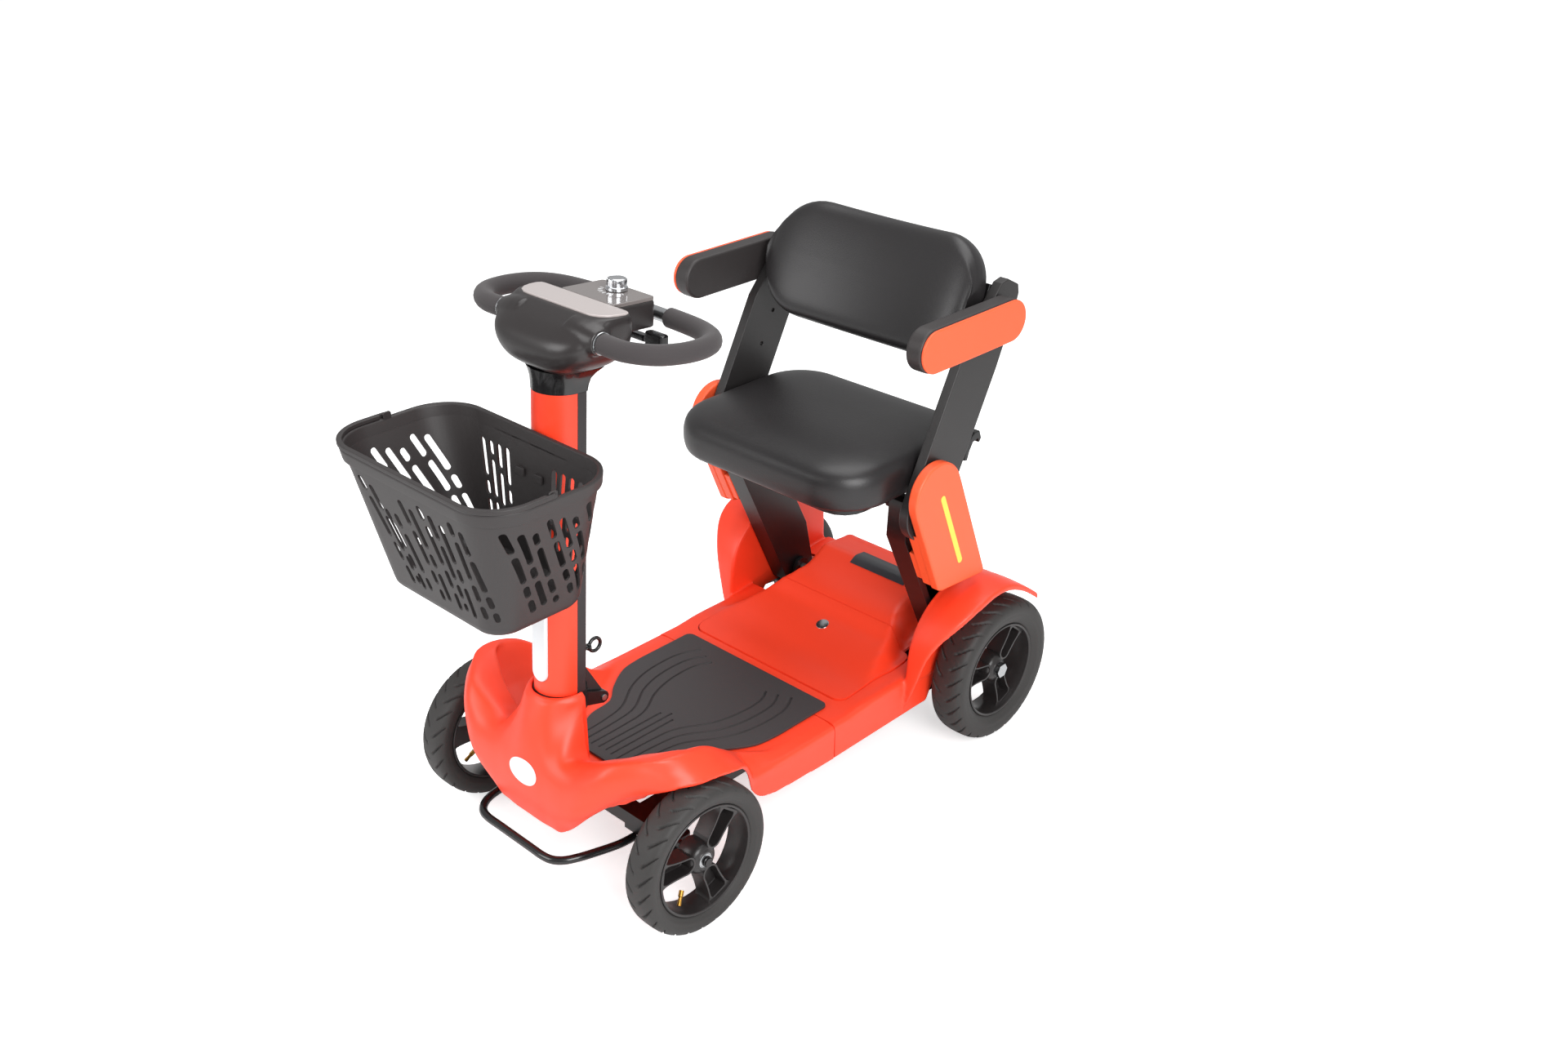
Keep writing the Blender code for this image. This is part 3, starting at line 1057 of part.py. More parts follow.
def seat():
    pivot_y, pivot_z = LEG_PIVOT
    seat_y, seat_z = SEAT_PIVOT
    lean = math.atan2(pivot_y - seat_y, seat_z - pivot_z)
    length = math.hypot(pivot_y - seat_y, seat_z - pivot_z)
    legs = frame("seat_fold_axis", ROOT, (0, pivot_y, pivot_z), lean)
    for side, name in ((1, "left"), (-1, "right")):
        x0, x1 = sorted((side * LEG_IN, side * LEG_OUT))
        outline = arc((0, 0), 0.034, 200, 330, 6) + [(0.046, 0.060), (0.044, 0.110), (0.028, length - 0.055)]
        outline += arc((0, length), 0.0135, 20, 160, 4) + [(-0.036, length - 0.040)]
        hollow = [(-0.024, 0.045), (0.032, 0.045), (0.016, length - 0.060), (-0.024, length - 0.060)]
        pocket = sorted((side * (LEG_IN + 0.004), side * (LEG_OUT + 0.01)))
        part(f"leg_{name}", BLACK, legs, [prism(outline, "x", x0, x1)],
             [rod("x", PIVOT_R + GAP, x0 - 0.01, x1 + 0.01, (0, 0), 16),
              rod("x", PIVOT_R + GAP, x0 - 0.01, x1 + 0.01, (0, length), 16),
              prism(hollow, "x", pocket[0], pocket[1])])
        skin = [(-0.040, 0.166), (-0.034, 0.160), (0.050, 0.116), (0.057, 0.118), (0.060, 0.210), (0.063,
                                                                                                   0.300)]
        skin += arc((0.013, 0.313), 0.050, 0, 180, 9)
        block = [(-0.036, 0.172), (0.000, 0.156), (0.002, 0.190), (-0.018, 0.222), (-0.036, 0.225)]
        s0, s1 = sorted((side * (UPRIGHT_OUT + 0.0035), side * (UPRIGHT_OUT + 0.020)))
        b0, b1 = sorted((side * (LEG_OUT + GAP), side * (UPRIGHT_OUT + 0.006)))
        part(f"leg_cover_{name}", ORANGE, legs, [prism(skin, "x", s0, s1), prism(block, "x", b0, b1)])

    pan = frame("seat_level_axis", legs, (0, seat_y, seat_z))
    front, rear = CUSHION_FRONT - seat_y, CUSHION_REAR - seat_y
    low = CUSHION_LOW - seat_z
    lug = LEG_IN - 0.0015
    shapes = [prism(round_rect(-CUSHION_HALF + 0.022, CUSHION_HALF - 0.022, front + 0.02, rear - 0.02, 0.04,
                               4),
                    "z", low - 0.0063, low - GAP)]
    for side in (-1, 1):
        l0, l1 = sorted((side * (lug - 0.006), side * lug))
        shapes.append(prism(capsule((0, low - 0.0145), (0, 0), 0.0135, 5), "x", l0, l1))
    part("seat_pan", BLACK, pan, shapes, [rod("x", PIVOT_R + GAP, -0.2, 0.2, (0, 0), 16)])
    cushion(pan, low, front, rear)

    back = frame("backrest_axis", legs, (0, seat_y, seat_z), -UPRIGHT_LEAN)
    for side, name in ((1, "left"), (-1, "right")):
        x0, x1 = sorted((side * UPRIGHT_IN, side * UPRIGHT_OUT))
        outline = arc((0, 0), UPRIGHT_HALF, 180, 360, 10)
        outline += [(UPRIGHT_HALF, UPRIGHT_LENGTH - 0.12), (UPRIGHT_HALF - 0.010, UPRIGHT_LENGTH - 0.01),
                    (UPRIGHT_HALF - 0.018, UPRIGHT_LENGTH), (-0.002, UPRIGHT_LENGTH),
                    (-0.014, UPRIGHT_LENGTH - 0.010), (-UPRIGHT_HALF, UPRIGHT_LENGTH - 0.13)]
        arm_local = FRAMES["backrest_axis"].inverted() @ Vector((0, ARM_PIVOT[0], ARM_PIVOT[1]))
        part(f"upright_{name}", UPRIGHT_PAINT, back, [prism(outline, "x", x0, x1)],
             [rod("x", PIVOT_R + GAP, x0 - 0.01, x1 + 0.01, (0, 0), 16),
              rod("x", 0.004 + GAP, x0 - 0.01, x1 + 0.01, (arm_local.y, arm_local.z), 12)])
    part("seat_pivot_shaft", STEEL, legs, [rod("x", PIVOT_R, -UPRIGHT_OUT - 0.001, UPRIGHT_OUT + 0.001,
                                               (0, length), 16)])
    backrest(back)
    for side, name in ((1, "left"), (-1, "right")):
        armrest(back, side, name)
    hook(back)
    return legs


def cushion(holder, low, front, rear):
    """Seat cushion: crown on top, sides drawn in above the base."""
    def ring(inset, z, radius):
        outline = round_rect(-CUSHION_HALF + inset, CUSHION_HALF - inset, front + inset, rear - inset, radius,
                             6)
        return [(x, y, z) for x, y in outline]
    thick = CUSHION_THICK
    rings = [ring(0.012, low, 0.070), ring(0.003, low + thick * 0.12, 0.078), ring(0.0, low + thick * 0.35,
                                                                                   0.082),
             ring(0.001, low + thick * 0.62, 0.080), ring(0.006, low + thick * 0.82, 0.075),
             ring(0.018, low + thick * 0.95, 0.064), ring(0.042, low + thick + CUSHION_CROWN * 0.45, 0.044),
             ring(0.090, low + thick + CUSHION_CROWN, 0.020)]
    part("seat_cushion", VINYL, holder, [loft(rings)])


def pad_rear(x):
    """Where the backrest pad's flat back stands at x: the pad is bent round the sitter."""
    bow = 1 - (x / PAD_HALF) ** 2
    return PAD_FACE + PAD_SAG * 0.72 * bow + PAD_THICK * (1 - 0.30 * bow)


def backrest(holder):
    """Backrest pad and the bent plate behind it that joins the uprights."""
    stations = [PAD_HALF * k for k in (0, 0.18, 0.36, 0.54, 0.68, 0.80, 0.89, 0.955, 1.0)]
    stations = [-x for x in reversed(stations[1:])] + stations
    rings = []
    for x in stations:
        into_corner = max(abs(x) - (PAD_HALF - PAD_CORNER), 0.0)
        half_h = PAD_HEIGHT / 2 - PAD_CORNER + math.sqrt(PAD_CORNER ** 2 - into_corner ** 2)
        rear = pad_rear(x)
        thick = PAD_THICK * (1 - 0.30 * (1 - (x / PAD_HALF) ** 2))
        end = math.sqrt(max(1 - (into_corner / PAD_CORNER) ** 2, 0.16))
        front = rear - thick * (0.45 + 0.55 * end)
        edge = min(0.020, half_h * 0.8)
        section = [(front - 0.003 * end, 0.0), (front - 0.001 * end, half_h * 0.5),
                   (front + edge * 0.25, half_h - edge * 0.55), (front + edge * 0.9, half_h - edge * 0.08),
                   (rear - edge * 0.7, half_h), (rear, half_h - edge * 0.5)]
        section += [(v, -w) for v, w in reversed(section[1:])]
        rings.append([(x, v, PAD_MID + w) for v, w in section])
    part("backrest_pad", VINYL, holder, [loft(rings)])

    plate = [(x, pad_rear(x) + GAP) for x in stations if abs(x) < PAD_HALF * 0.9]
    reach = UPRIGHT_IN - GAP
    end_v = plate[0][1]
    plate = [(-reach, end_v)] + plate + [(reach, end_v)]
    plate += [(x, v + PLATE_THICK) for x, v in reversed(plate)]
    part("backrest_frame", BLACK, holder, [prism(plate, "z", PAD_MID - PLATE_HALF, PAD_MID + PLATE_HALF)])


def armrest(holder, side, name):
    pivot_y, pivot_z = ARM_PIVOT
    hinge = frame(f"armrest_{name}_axis", holder, (0, pivot_y, pivot_z))
    outline = capsule((ARM_FRONT_Y + ARM_HALF_H - pivot_y, 0), (ARM_REAR_Y - ARM_HALF_H - pivot_y, 0),
                      ARM_HALF_H, 6)
    x0, x1 = sorted((side * ARM_IN, side * (ARM_BODY_OUT - GAP)))
    pin = sorted((side * (UPRIGHT_IN + 0.001), side * (ARM_IN + 0.002)))
    part(f"armrest_{name}", GREY, hinge, [prism(outline, "x", x0, x1), rod("x", 0.004, pin[0], pin[1], (0, 0),
                                                                           12)])
    trim = capsule((ARM_FRONT_Y + ARM_HALF_H - pivot_y, 0), (ARM_REAR_Y - ARM_HALF_H - pivot_y, 0),
                   ARM_HALF_H - 0.001,
                   6)
    c0, c1 = sorted((side * ARM_BODY_OUT, side * ARM_OUT))
    part(f"armrest_cap_{name}", ORANGE, hinge, [prism(trim, "x", c0, c1)])


def hook(holder):
    """Seat latch: a sprung hook lever behind the left upright."""
    at = FRAMES["backrest_axis"] @ Vector((0, UPRIGHT_HALF + 0.006, 0.110))
    hinge = frame("seat_latch_axis", holder, (0, at.y, at.z), -UPRIGHT_LEAN)
    outline = [(-0.0055, -0.004), (0.001, -0.026), (0.008, -0.024), (0.006, -0.010), (0.007, 0.004), (0.016,
                                                                                                      0.012),
               (0.022, 0.006), (0.023, 0.014), (0.013, 0.023), (0.003, 0.018), (-0.0054, 0.0005)]
    part("seat_latch", BLACK, hinge, [prism(outline, "x", UPRIGHT_IN + 0.003, UPRIGHT_OUT - 0.003)])


HEAD = chassis()
LEFT_KNUCKLE = front_corner(1, "left")
front_corner(-1, "right")
rear_corner(1, "left")
rear_corner(-1, "right")
tie_rod(LEFT_KNUCKLE)
stem(HEAD)
FOLD, SHIFT = tiller(HEAD)
control_head(FOLD, SHIFT)
basket(FOLD, SHIFT)
front_shell()
rear_shell()
floor_mat()
seat()
bpy.context.view_layer.update()
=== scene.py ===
"""Folding four-wheel mobility scooter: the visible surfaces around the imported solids.

Sizes are in metres.  Lengths along the scooter are measured from the middle of the
wheelbase, front towards -Y; finish_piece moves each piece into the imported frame.
"""
import math
from contextlib import contextmanager

import bmesh
import bpy
from mathutils import Matrix, Vector
from mathutils.bvhtree import BVHTree


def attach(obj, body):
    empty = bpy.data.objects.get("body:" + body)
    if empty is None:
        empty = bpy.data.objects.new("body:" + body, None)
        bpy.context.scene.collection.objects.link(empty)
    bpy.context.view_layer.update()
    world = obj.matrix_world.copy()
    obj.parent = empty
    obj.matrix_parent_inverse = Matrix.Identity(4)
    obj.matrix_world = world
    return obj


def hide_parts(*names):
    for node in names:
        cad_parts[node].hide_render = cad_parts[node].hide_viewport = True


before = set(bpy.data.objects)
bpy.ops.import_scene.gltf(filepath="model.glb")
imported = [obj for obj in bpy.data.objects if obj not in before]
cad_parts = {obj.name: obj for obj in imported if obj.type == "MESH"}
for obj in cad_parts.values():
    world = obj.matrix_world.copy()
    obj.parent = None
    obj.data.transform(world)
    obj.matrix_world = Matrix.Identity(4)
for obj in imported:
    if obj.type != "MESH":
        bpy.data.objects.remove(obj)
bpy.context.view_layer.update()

MIDDLE = 0.0605
RAKE = math.radians(4.7)
HEAD_Y, HEAD_Z = -0.3616, 0.085
COLUMN = Matrix.Translation((0, HEAD_Y, HEAD_Z)) @ Matrix.Rotation(-RAKE, 4, "X")
SEAT_AXIS = (0.162, 0.432)
LEG_AXIS = (0.275, 0.17)
BACK_LEAN = math.radians(28.2)
BACK = Matrix.Translation((0, *SEAT_AXIS)) @ Matrix.Rotation(-BACK_LEAN, 4, "X")
LEG_LEAN = math.atan2(LEG_AXIS[0] - SEAT_AXIS[0], SEAT_AXIS[1] - LEG_AXIS[1])
LEG = Matrix.Translation((0, *LEG_AXIS)) @ Matrix.Rotation(LEG_LEAN, 4, "X")
SIDES = ((1, "left"), (-1, "right"))
DECK = 0.143


# Curves and outlines

def mm(values):
    """Tables are written in millimetres."""
    return tuple(mm(v) for v in values) if isinstance(values, tuple) else values / 1000


def arc(centre, radius, start, end, steps):
    """Points along a circle, angles in degrees."""
    turns = [math.radians(start + (end - start) * i / steps) for i in range(steps + 1)]
    return [(centre[0] + radius * math.cos(a), centre[1] + radius * math.sin(a)) for a in turns]


def round_rect(x0, x1, y0, y1, radius, steps=8):
    """Rectangle with round corners."""
    r = radius
    corners = ((x1 - r, y1 - r, 0), (x0 + r, y1 - r, 90), (x0 + r, y0 + r, 180), (x1 - r, y0 + r, 270))
    return [p for x, y, start in corners for p in arc((x, y), r, start, start + 90, steps)]


def pill(a, b, radius, steps=8):
    """Bar with round ends between two points."""
    heading = math.degrees(math.atan2(b[1] - a[1], b[0] - a[0]))
    return arc(b, radius, heading - 90, heading + 90, steps) + arc(a, radius, heading + 90, heading + 270, steps)


def curve_through(points, steps, loop=False):
    """Smooth line through the given points."""
    path = [Vector(p) for p in points]
    count = len(path)
    out = []
    for i in range(count if loop else count - 1):
        if loop:
            p0, p1, p2, p3 = (path[(i + k - 1) % count] for k in range(4))
        else:
            p0, p1, p2, p3 = path[max(i - 1, 0)], path[i], path[i + 1], path[min(i + 2, count - 1)]
        for k in range(steps):
            t = k / steps
            out.append(0.5 * (2 * p1 + (p2 - p0) * t + (2 * p0 - 5 * p1 + 4 * p2 - p3) * t * t
                              + (3 * p1 - p0 - 3 * p2 + p3) * t ** 3))
    if not loop:
        out.append(path[-1])
    return out


def flat_curve(points, steps):
    """The same for points with two coordinates."""
    return [(p.x, p.y) for p in curve_through([(a, b, 0) for a, b in points], steps)]


def finer(rows, down, across):
    """Rows of points with smooth lines drawn both ways between them."""
    wide = [curve_through(row, across) for row in rows]
    columns = [curve_through(column, down) for column in zip(*wide)]
    return [list(row) for row in zip(*columns)]


def read(table, value):
    """Value read from a short table of (place, value) pairs."""
    if value <= table[0][0]:
        return table[0][1]
    for (a, low), (b, high) in zip(table, table[1:]):
        if value <= b:
            return low + (high - low) * (value - a) / (b - a)
    return table[-1][1]


def mirrored(row):
    """A half row from the middle outwards, made whole."""
    return [(-x, y, z) for x, y, z in reversed(row[1:])] + list(row)


# Working on a piece by hand

def link(obj):
    bpy.context.scene.collection.objects.link(obj)


def deselect():
    bpy.ops.object.select_all(action="DESELECT")


def named(name):
    obj = bpy.context.object
    obj.name = obj.data.name = name
    return obj


def choose(obj):
    deselect()
    obj.select_set(True)
    bpy.context.view_layer.objects.active = obj


def modify(obj, kind, **settings):
    """Add a modifier and apply it."""
    choose(obj)
    modifier = obj.modifiers.new(kind.lower(), kind)
    for key, value in settings.items():
        setattr(modifier, key, value)
    bpy.ops.object.modifier_apply(modifier=modifier.name)


@contextmanager
def editing(obj):
    """Edit mode with the whole mesh selected."""
    choose(obj)
    bpy.ops.object.mode_set(mode="EDIT")
    bpy.ops.mesh.select_all(action="SELECT")
    yield
    bpy.ops.object.mode_set(mode="OBJECT")


def tidy(obj, outwards=True):
    """Merge doubles and turn the faces outwards."""
    with editing(obj):
        bpy.ops.mesh.remove_doubles(threshold=1e-5)
        if outwards:
            bpy.ops.mesh.normals_make_consistent(inside=False)


def close_ends(obj):
    with editing(obj):
        bpy.ops.mesh.fill_holes(sides=0)
        bpy.ops.mesh.normals_make_consistent(inside=False)


def skin(name, rows):
    """A grid pulled through rows of points."""
    deselect()
    bpy.ops.mesh.primitive_grid_add(x_subdivisions=len(rows[0]) - 1, y_subdivisions=len(rows) - 1)
    obj = named(name)
    for vertex, point in zip(obj.data.vertices, (p for row in rows for p in row)):
        vertex.co = point
    return obj


def loft(name, rings):
    """A closed body through rings of points, with its ends filled."""
    obj = skin(name, [list(ring) + [ring[0]] for ring in rings])
    tidy(obj)
    close_ends(obj)
    return obj


def round_over(obj, width, steps=3, angle=30):
    """Round the edges, and subdivide nothing else."""
    modify(obj, "BEVEL", width=width, segments=steps, limit_method="ANGLE", angle_limit=math.radians(angle),
           harden_normals=False, use_clamp_overlap=True)


AXES = {"x": (1, 0, 0), "y": (0, 1, 0), "z": (0, 0, 1)}


def plate(name, outline, axis, low, high, rounding=0.0, steps=3):
    """A disc pulled to an outline and extruded; for axis x the outline is y, z."""
    deselect()
    bpy.ops.mesh.primitive_circle_add(vertices=len(outline), fill_type="NGON")
    obj = named(name)
    for vertex, (a, b) in zip(obj.data.vertices, outline):
        vertex.co = {"x": (low, a, b), "y": (a, low, b), "z": (a, b, low)}[axis]
    with editing(obj):
        bpy.ops.mesh.extrude_region_move(TRANSFORM_OT_translate={"value": [c * (high - low) for c in AXES[axis]]})
        bpy.ops.mesh.select_all(action="SELECT")
        bpy.ops.mesh.normals_make_consistent(inside=False)
    if rounding:
        round_over(obj, rounding, steps)
    return obj


def slab(name, outline, side, near, far, rounding=0.0, steps=3):
    """A plate across x on one side of the scooter."""
    return plate(name, outline, "x", *sorted((side * near, side * far)), rounding, steps)


def hole(a, b, radius, steps=24):
    return arc((a, b), radius, 0, 360, steps)[:-1]


def carried(obj, matrix):
    obj.data.transform(matrix)
    return obj


def to_column(obj):
    return carried(obj, COLUMN)


def turned(name, profile, axis, centre=(0, 0, 0), steps=64):
    """A section of (radius, height) points spun about an axis."""
    deselect()
    bpy.ops.mesh.primitive_circle_add(vertices=len(profile), fill_type="NOTHING")
    obj = named(name)
    up = Vector(AXES[axis])
    out = Vector(AXES["x" if axis == "z" else "z"])
    for vertex, (radius, height) in zip(obj.data.vertices, profile):
        vertex.co = Vector(centre) + out * radius + up * height
    with editing(obj):
        bpy.ops.mesh.spin(steps=steps, angle=math.tau, center=centre, axis=up)
    tidy(obj)
    return obj


def bar(name, points, radius, loop=False, resolution=5):
    """Round bar along a line."""
    curve = bpy.data.curves.new(name, "CURVE")
    curve.dimensions = "3D"
    curve.bevel_depth = radius
    curve.bevel_resolution = resolution
    curve.use_fill_caps = not loop
    spline = curve.splines.new("POLY")
    spline.points.add(len(points) - 1)
    spline.use_cyclic_u = loop
    for knot, point in zip(spline.points, points):
        knot.co = (*point, 1)
    obj = bpy.data.objects.new(name, curve)
    link(obj)
    choose(obj)
    bpy.ops.object.convert(target="MESH")
    obj = bpy.context.object
    tidy(obj)
    return obj


def twin(obj, name, matrix=None):
    """A copy with its own mesh, turned or moved."""
    other = obj.copy()
    other.data = obj.data.copy()
    other.name = other.data.name = name
    link(other)
    if matrix is not None:
        other.data.transform(matrix)
        if matrix.determinant() < 0:
            other.data.flip_normals()
    return other


ACROSS = Matrix.Scale(-1, 4, (1, 0, 0))


def pair(obj, name):
    """The same piece on the sitter's right."""
    return twin(obj, name, ACROSS)


def join(name, pieces):
    deselect()
    for piece in pieces:
        piece.select_set(True)
    bpy.context.view_layer.objects.active = pieces[0]
    bpy.ops.object.join()
    return named(name)


def cut(obj, cutters, solver="EXACT", operation="DIFFERENCE"):
    """Cut shapes out of a piece and throw the cutters away."""
    tool = join("cutter", cutters) if len(cutters) > 1 else cutters[0]
    modify(obj, "BOOLEAN", object=tool, operation=operation, solver=solver)
    bpy.data.objects.remove(tool)
    return obj


def moulded_from(name, pieces, voxel, passes, factor=0.6):
    """Melt overlapping shapes into one body with soft inside corners."""
    obj = join(name, pieces)
    obj.data.remesh_voxel_size = voxel
    choose(obj)
    bpy.ops.object.voxel_remesh()
    modify(obj, "SMOOTH", factor=factor, iterations=passes)
    return obj


def from_node(node, name, width, steps=2):
    """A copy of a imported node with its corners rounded."""
    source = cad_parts[node]
    obj = source.copy()
    obj.data = source.data.copy()
    for key in list(obj.keys()):
        del obj[key]
    obj.parent = None
    obj.matrix_world = Matrix.Identity(4)
    obj.name = obj.data.name = name
    link(obj)
    obj.hide_render = obj.hide_viewport = False
    obj.data.transform(source.matrix_world)
    obj.data.transform(Matrix.Translation((0, -MIDDLE, 0)))
    tidy(obj, outwards=False)
    with editing(obj):
        bpy.ops.mesh.dissolve_limited(angle_limit=math.radians(1.5))
    round_over(obj, width, steps, 32)
    return obj


def finish_piece(obj, coat, body, *replaces, smooth=35):
    """Shade a piece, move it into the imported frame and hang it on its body."""
    material, slot = coat
    choose(obj)
    bpy.ops.object.shade_smooth_by_angle(angle=math.radians(smooth))
    if smooth < 60:
        modify(obj, "WEIGHTED_NORMAL", keep_sharp=True, weight=60)
    obj.data.transform(Matrix.Translation((0, MIDDLE, 0)))
    obj.data.materials.clear()
    obj.data.materials.append(material)
    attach(obj, body)
    if replaces:
        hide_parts(*replaces)
    return obj


# Finishes

def linear(code):
    """Linear colour of an sRGB hex code."""
    parts = [int(code[i:i + 2], 16) / 255 for i in (1, 3, 5)]
    return [v / 12.92 if v <= 0.04045 else ((v + 0.055) / 1.055) ** 2.4 for v in parts] + [1.0]


def add(tree, kind, values=None, links=None, **settings):
    """Add a node with its settings, socket values and links."""
    node = tree.nodes.new("ShaderNode" + kind)
    for key, value in settings.items():
        setattr(node, key, value)
    for socket, value in (values or {}).items():
        node.inputs[socket].default_value = value
    for socket, source in (links or {}).items():
        tree.links.new(source, node.inputs[socket])
    return node


def finish(name, slot, code, roughness, grain, depth, drift=0.06, metallic=0.0, stretch=(1, 1, 1), spread=0.05,
           cells=False, **sockets):
    """A material with its slot: tone and gloss wander a little, over a relief of the given grain and depth."""
    material = bpy.data.materials.new(name)
    material.use_nodes = True
    tree = material.node_tree
    shader = tree.nodes["Principled BSDF"]
    shader.inputs["Metallic"].default_value = metallic
    for socket, value in sockets.items():
        shader.inputs[socket.replace("_", " ")].default_value = value
    place = add(tree, "TexCoord").outputs["Object"]
    drawn = add(tree, "Mapping", {"Scale": stretch}, {"Vector": place}).outputs["Vector"]
    cloud = add(tree, "TexNoise", {"Scale": 6.0, "Detail": 5.0, "Roughness": 0.6}, {"Vector": place}).outputs[0]
    tone = linear(code)
    dark, light = ([min(c * k, 1.0) for c in tone[:3]] + [1.0] for k in (1 - drift, 1 + drift))
    tint = add(tree, "Mix", {6: dark, 7: light}, {0: cloud}, data_type="RGBA").outputs[2]
    gloss = add(tree, "MapRange", {"To Min": roughness - spread, "To Max": roughness + spread}, {"Value": cloud})
    if cells:
        relief = add(tree, "TexVoronoi", {"Scale": 1 / grain}, {"Vector": drawn}, feature="SMOOTH_F1").outputs[0]
    else:
        relief = add(tree, "TexNoise", {"Scale": 1 / grain, "Detail": 3.0}, {"Vector": drawn}).outputs[0]
    bump = add(tree, "Bump", {"Distance": depth}, {"Height": relief})
    tree.links.new(tint, shader.inputs["Base Color"])
    tree.links.new(gloss.outputs[0], shader.inputs["Roughness"])
    tree.links.new(bump.outputs[0], shader.inputs["Normal"])
    return material, slot


# Injection-moulded ABS in signal red: a soft satin with a faint orange-peel from the tool.
RED_ABS = finish("red_moulded_abs", "red_plastic", "#FA4020", 0.44, 0.0022, 0.000035, 0.03, Coat_Weight=0.08,
                 Coat_Roughness=0.3)
# The same ABS in the lighter orange of the seat's trims.
ORANGE_ABS = finish("orange_moulded_abs", "orange_plastic", "#FA5C30", 0.46, 0.0022, 0.00003, 0.03,
                    Coat_Weight=0.06)
# Polypropylene with a fine spark-eroded grain, so its gloss is broken up evenly.
GREY_PP = finish("dark_grey_polypropylene", "dark_grey_plastic", "#2E2A2A", 0.5, 0.0016, 0.00008, 0.06)
# Smoother ABS of the control head: a wide soft highlight.
HEAD_ABS = finish("head_satin_abs", "dark_grey_plastic", "#272323", 0.34, 0.002, 0.00003, 0.05)
# High-gloss black ABS of the neck, the safety ring, the paddles and the bumper: sharp reflections over faint ripples.
GLOSS_ABS = finish("gloss_black_abs", "gloss_black", "#121213", 0.24, 0.006, 0.00001, 0.05, Coat_Weight=0.3)
# Powder-coated steel: hard and black, with the fine pebbling of the baked powder.
POWDER = finish("black_powder_coat", "black_steel", "#0E0D0E", 0.34, 0.0018, 0.00006, 0.08)
# Grey-black enamel on the flat seat uprights.
UPRIGHT_ENAMEL = finish("upright_enamel", "grey_painted_metal", "#262424", 0.4, 0.002, 0.00004, 0.05)
# Dark anodised aluminium extrusion: the die leaves fine lines along the column.
ANODISED = finish("dark_anodised_column", "column_alloy", "#2F2B2C", 0.4, 0.0012, 0.00002, 0.05, 0.25,
                  (1, 1, 0.03))
# Zinc-plated steel pins and rods, turned.
ZINC = finish("zinc_plated_steel", "bright_steel", "#B4B6B8", 0.28, 0.001, 0.00002, 0.05, 1.0)
# Polished chrome of the dial and the lock.
CHROME = finish("polished_chrome", "chrome", "#CFD1D4", 0.17, 0.008, 0.00001, 0.02, 1.0, spread=0.04)
# Brass of the tyre valve.
BRASS = finish("valve_brass", "bright_steel", "#A87C38", 0.34, 0.002, 0.00003, 0.06, 1.0)
# Vulcanised tyre rubber: dull, greyed by mould release.
TYRE_RUBBER = finish("tyre_rubber", "tyre_rubber", "#2C2A29", 0.6, 0.0018, 0.00016, 0.12)
# Closed-cell EVA foam sleeves: matt, with tiny open pores, drawn at 1.2 mm so that they show.
EVA_FOAM = finish("eva_foam_sleeve", "foam_grip", "#363132", 0.78, 0.0012, 0.00014, 0.06, cells=True,
                  Sheen_Weight=0.12)
# Self-skinned polyurethane foam: a tight leather-like skin.
PU_SKIN = finish("integral_skin_foam", "seat_vinyl", "#1F1D1E", 0.38, 0.0017, 0.00011, 0.05, cells=True)
# Thermoplastic rubber of the foot mat.
MAT_RUBBER = finish("foot_mat_rubber", "mat_rubber", "#3A3637", 0.55, 0.0015, 0.0001, 0.06)
# Pale glossy panel on the head.
PANEL = finish("pale_panel_film", "panel_grey", "#B3AAA8", 0.16, 0.006, 0.00001, 0.02, spread=0.03,
               Coat_Weight=0.4)
# The darker glossy cap of the console, round the dial.
CAP = finish("console_cap_abs", "panel_grey", "#6E6765", 0.14, 0.006, 0.00001, 0.03, spread=0.03,
             Coat_Weight=0.4)
# Satin black ABS of the wheel rims, finely grained by the tool.
RIM_ABS = finish("satin_black_rim_abs", "dark_grey_plastic", "#262323", 0.34, 0.0018, 0.00004, 0.05)
# White polycarbonate of the light strip.
LENS = finish("white_polycarbonate", "white_lens", "#DDDFE2", 0.22, 0.006, 0.00001, 0.01, spread=0.03)
# Moulded case of the battery.
BATTERY = finish("battery_case_abs", "battery_case", "#26282B", 0.5, 0.0016, 0.00008, 0.06)
# Sand-cast aluminium of the motors.
CAST = finish("cast_motor_aluminium", "motor_case", "#606366", 0.45, 0.002, 0.0002, 0.08, 0.9)
# Retro-reflective tape: small prisms give it its grain.
REFLECTOR = finish("yellow_reflective_tape", "white_lens", "#E8D24A", 0.35, 0.0016, 0.0001, 0.04, cells=True)
# Blank printed film of the label and the round sticker.
DARK_FILM = finish("dark_label_film", "dark_grey_plastic", "#3A3A3E", 0.3, 0.005, 0.00001, 0.04)
PALE_FILM = finish("pale_sticker_film", "white_lens", "#E9EEF0", 0.3, 0.005, 0.00001, 0.02)


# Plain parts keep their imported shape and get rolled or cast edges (width in mm)

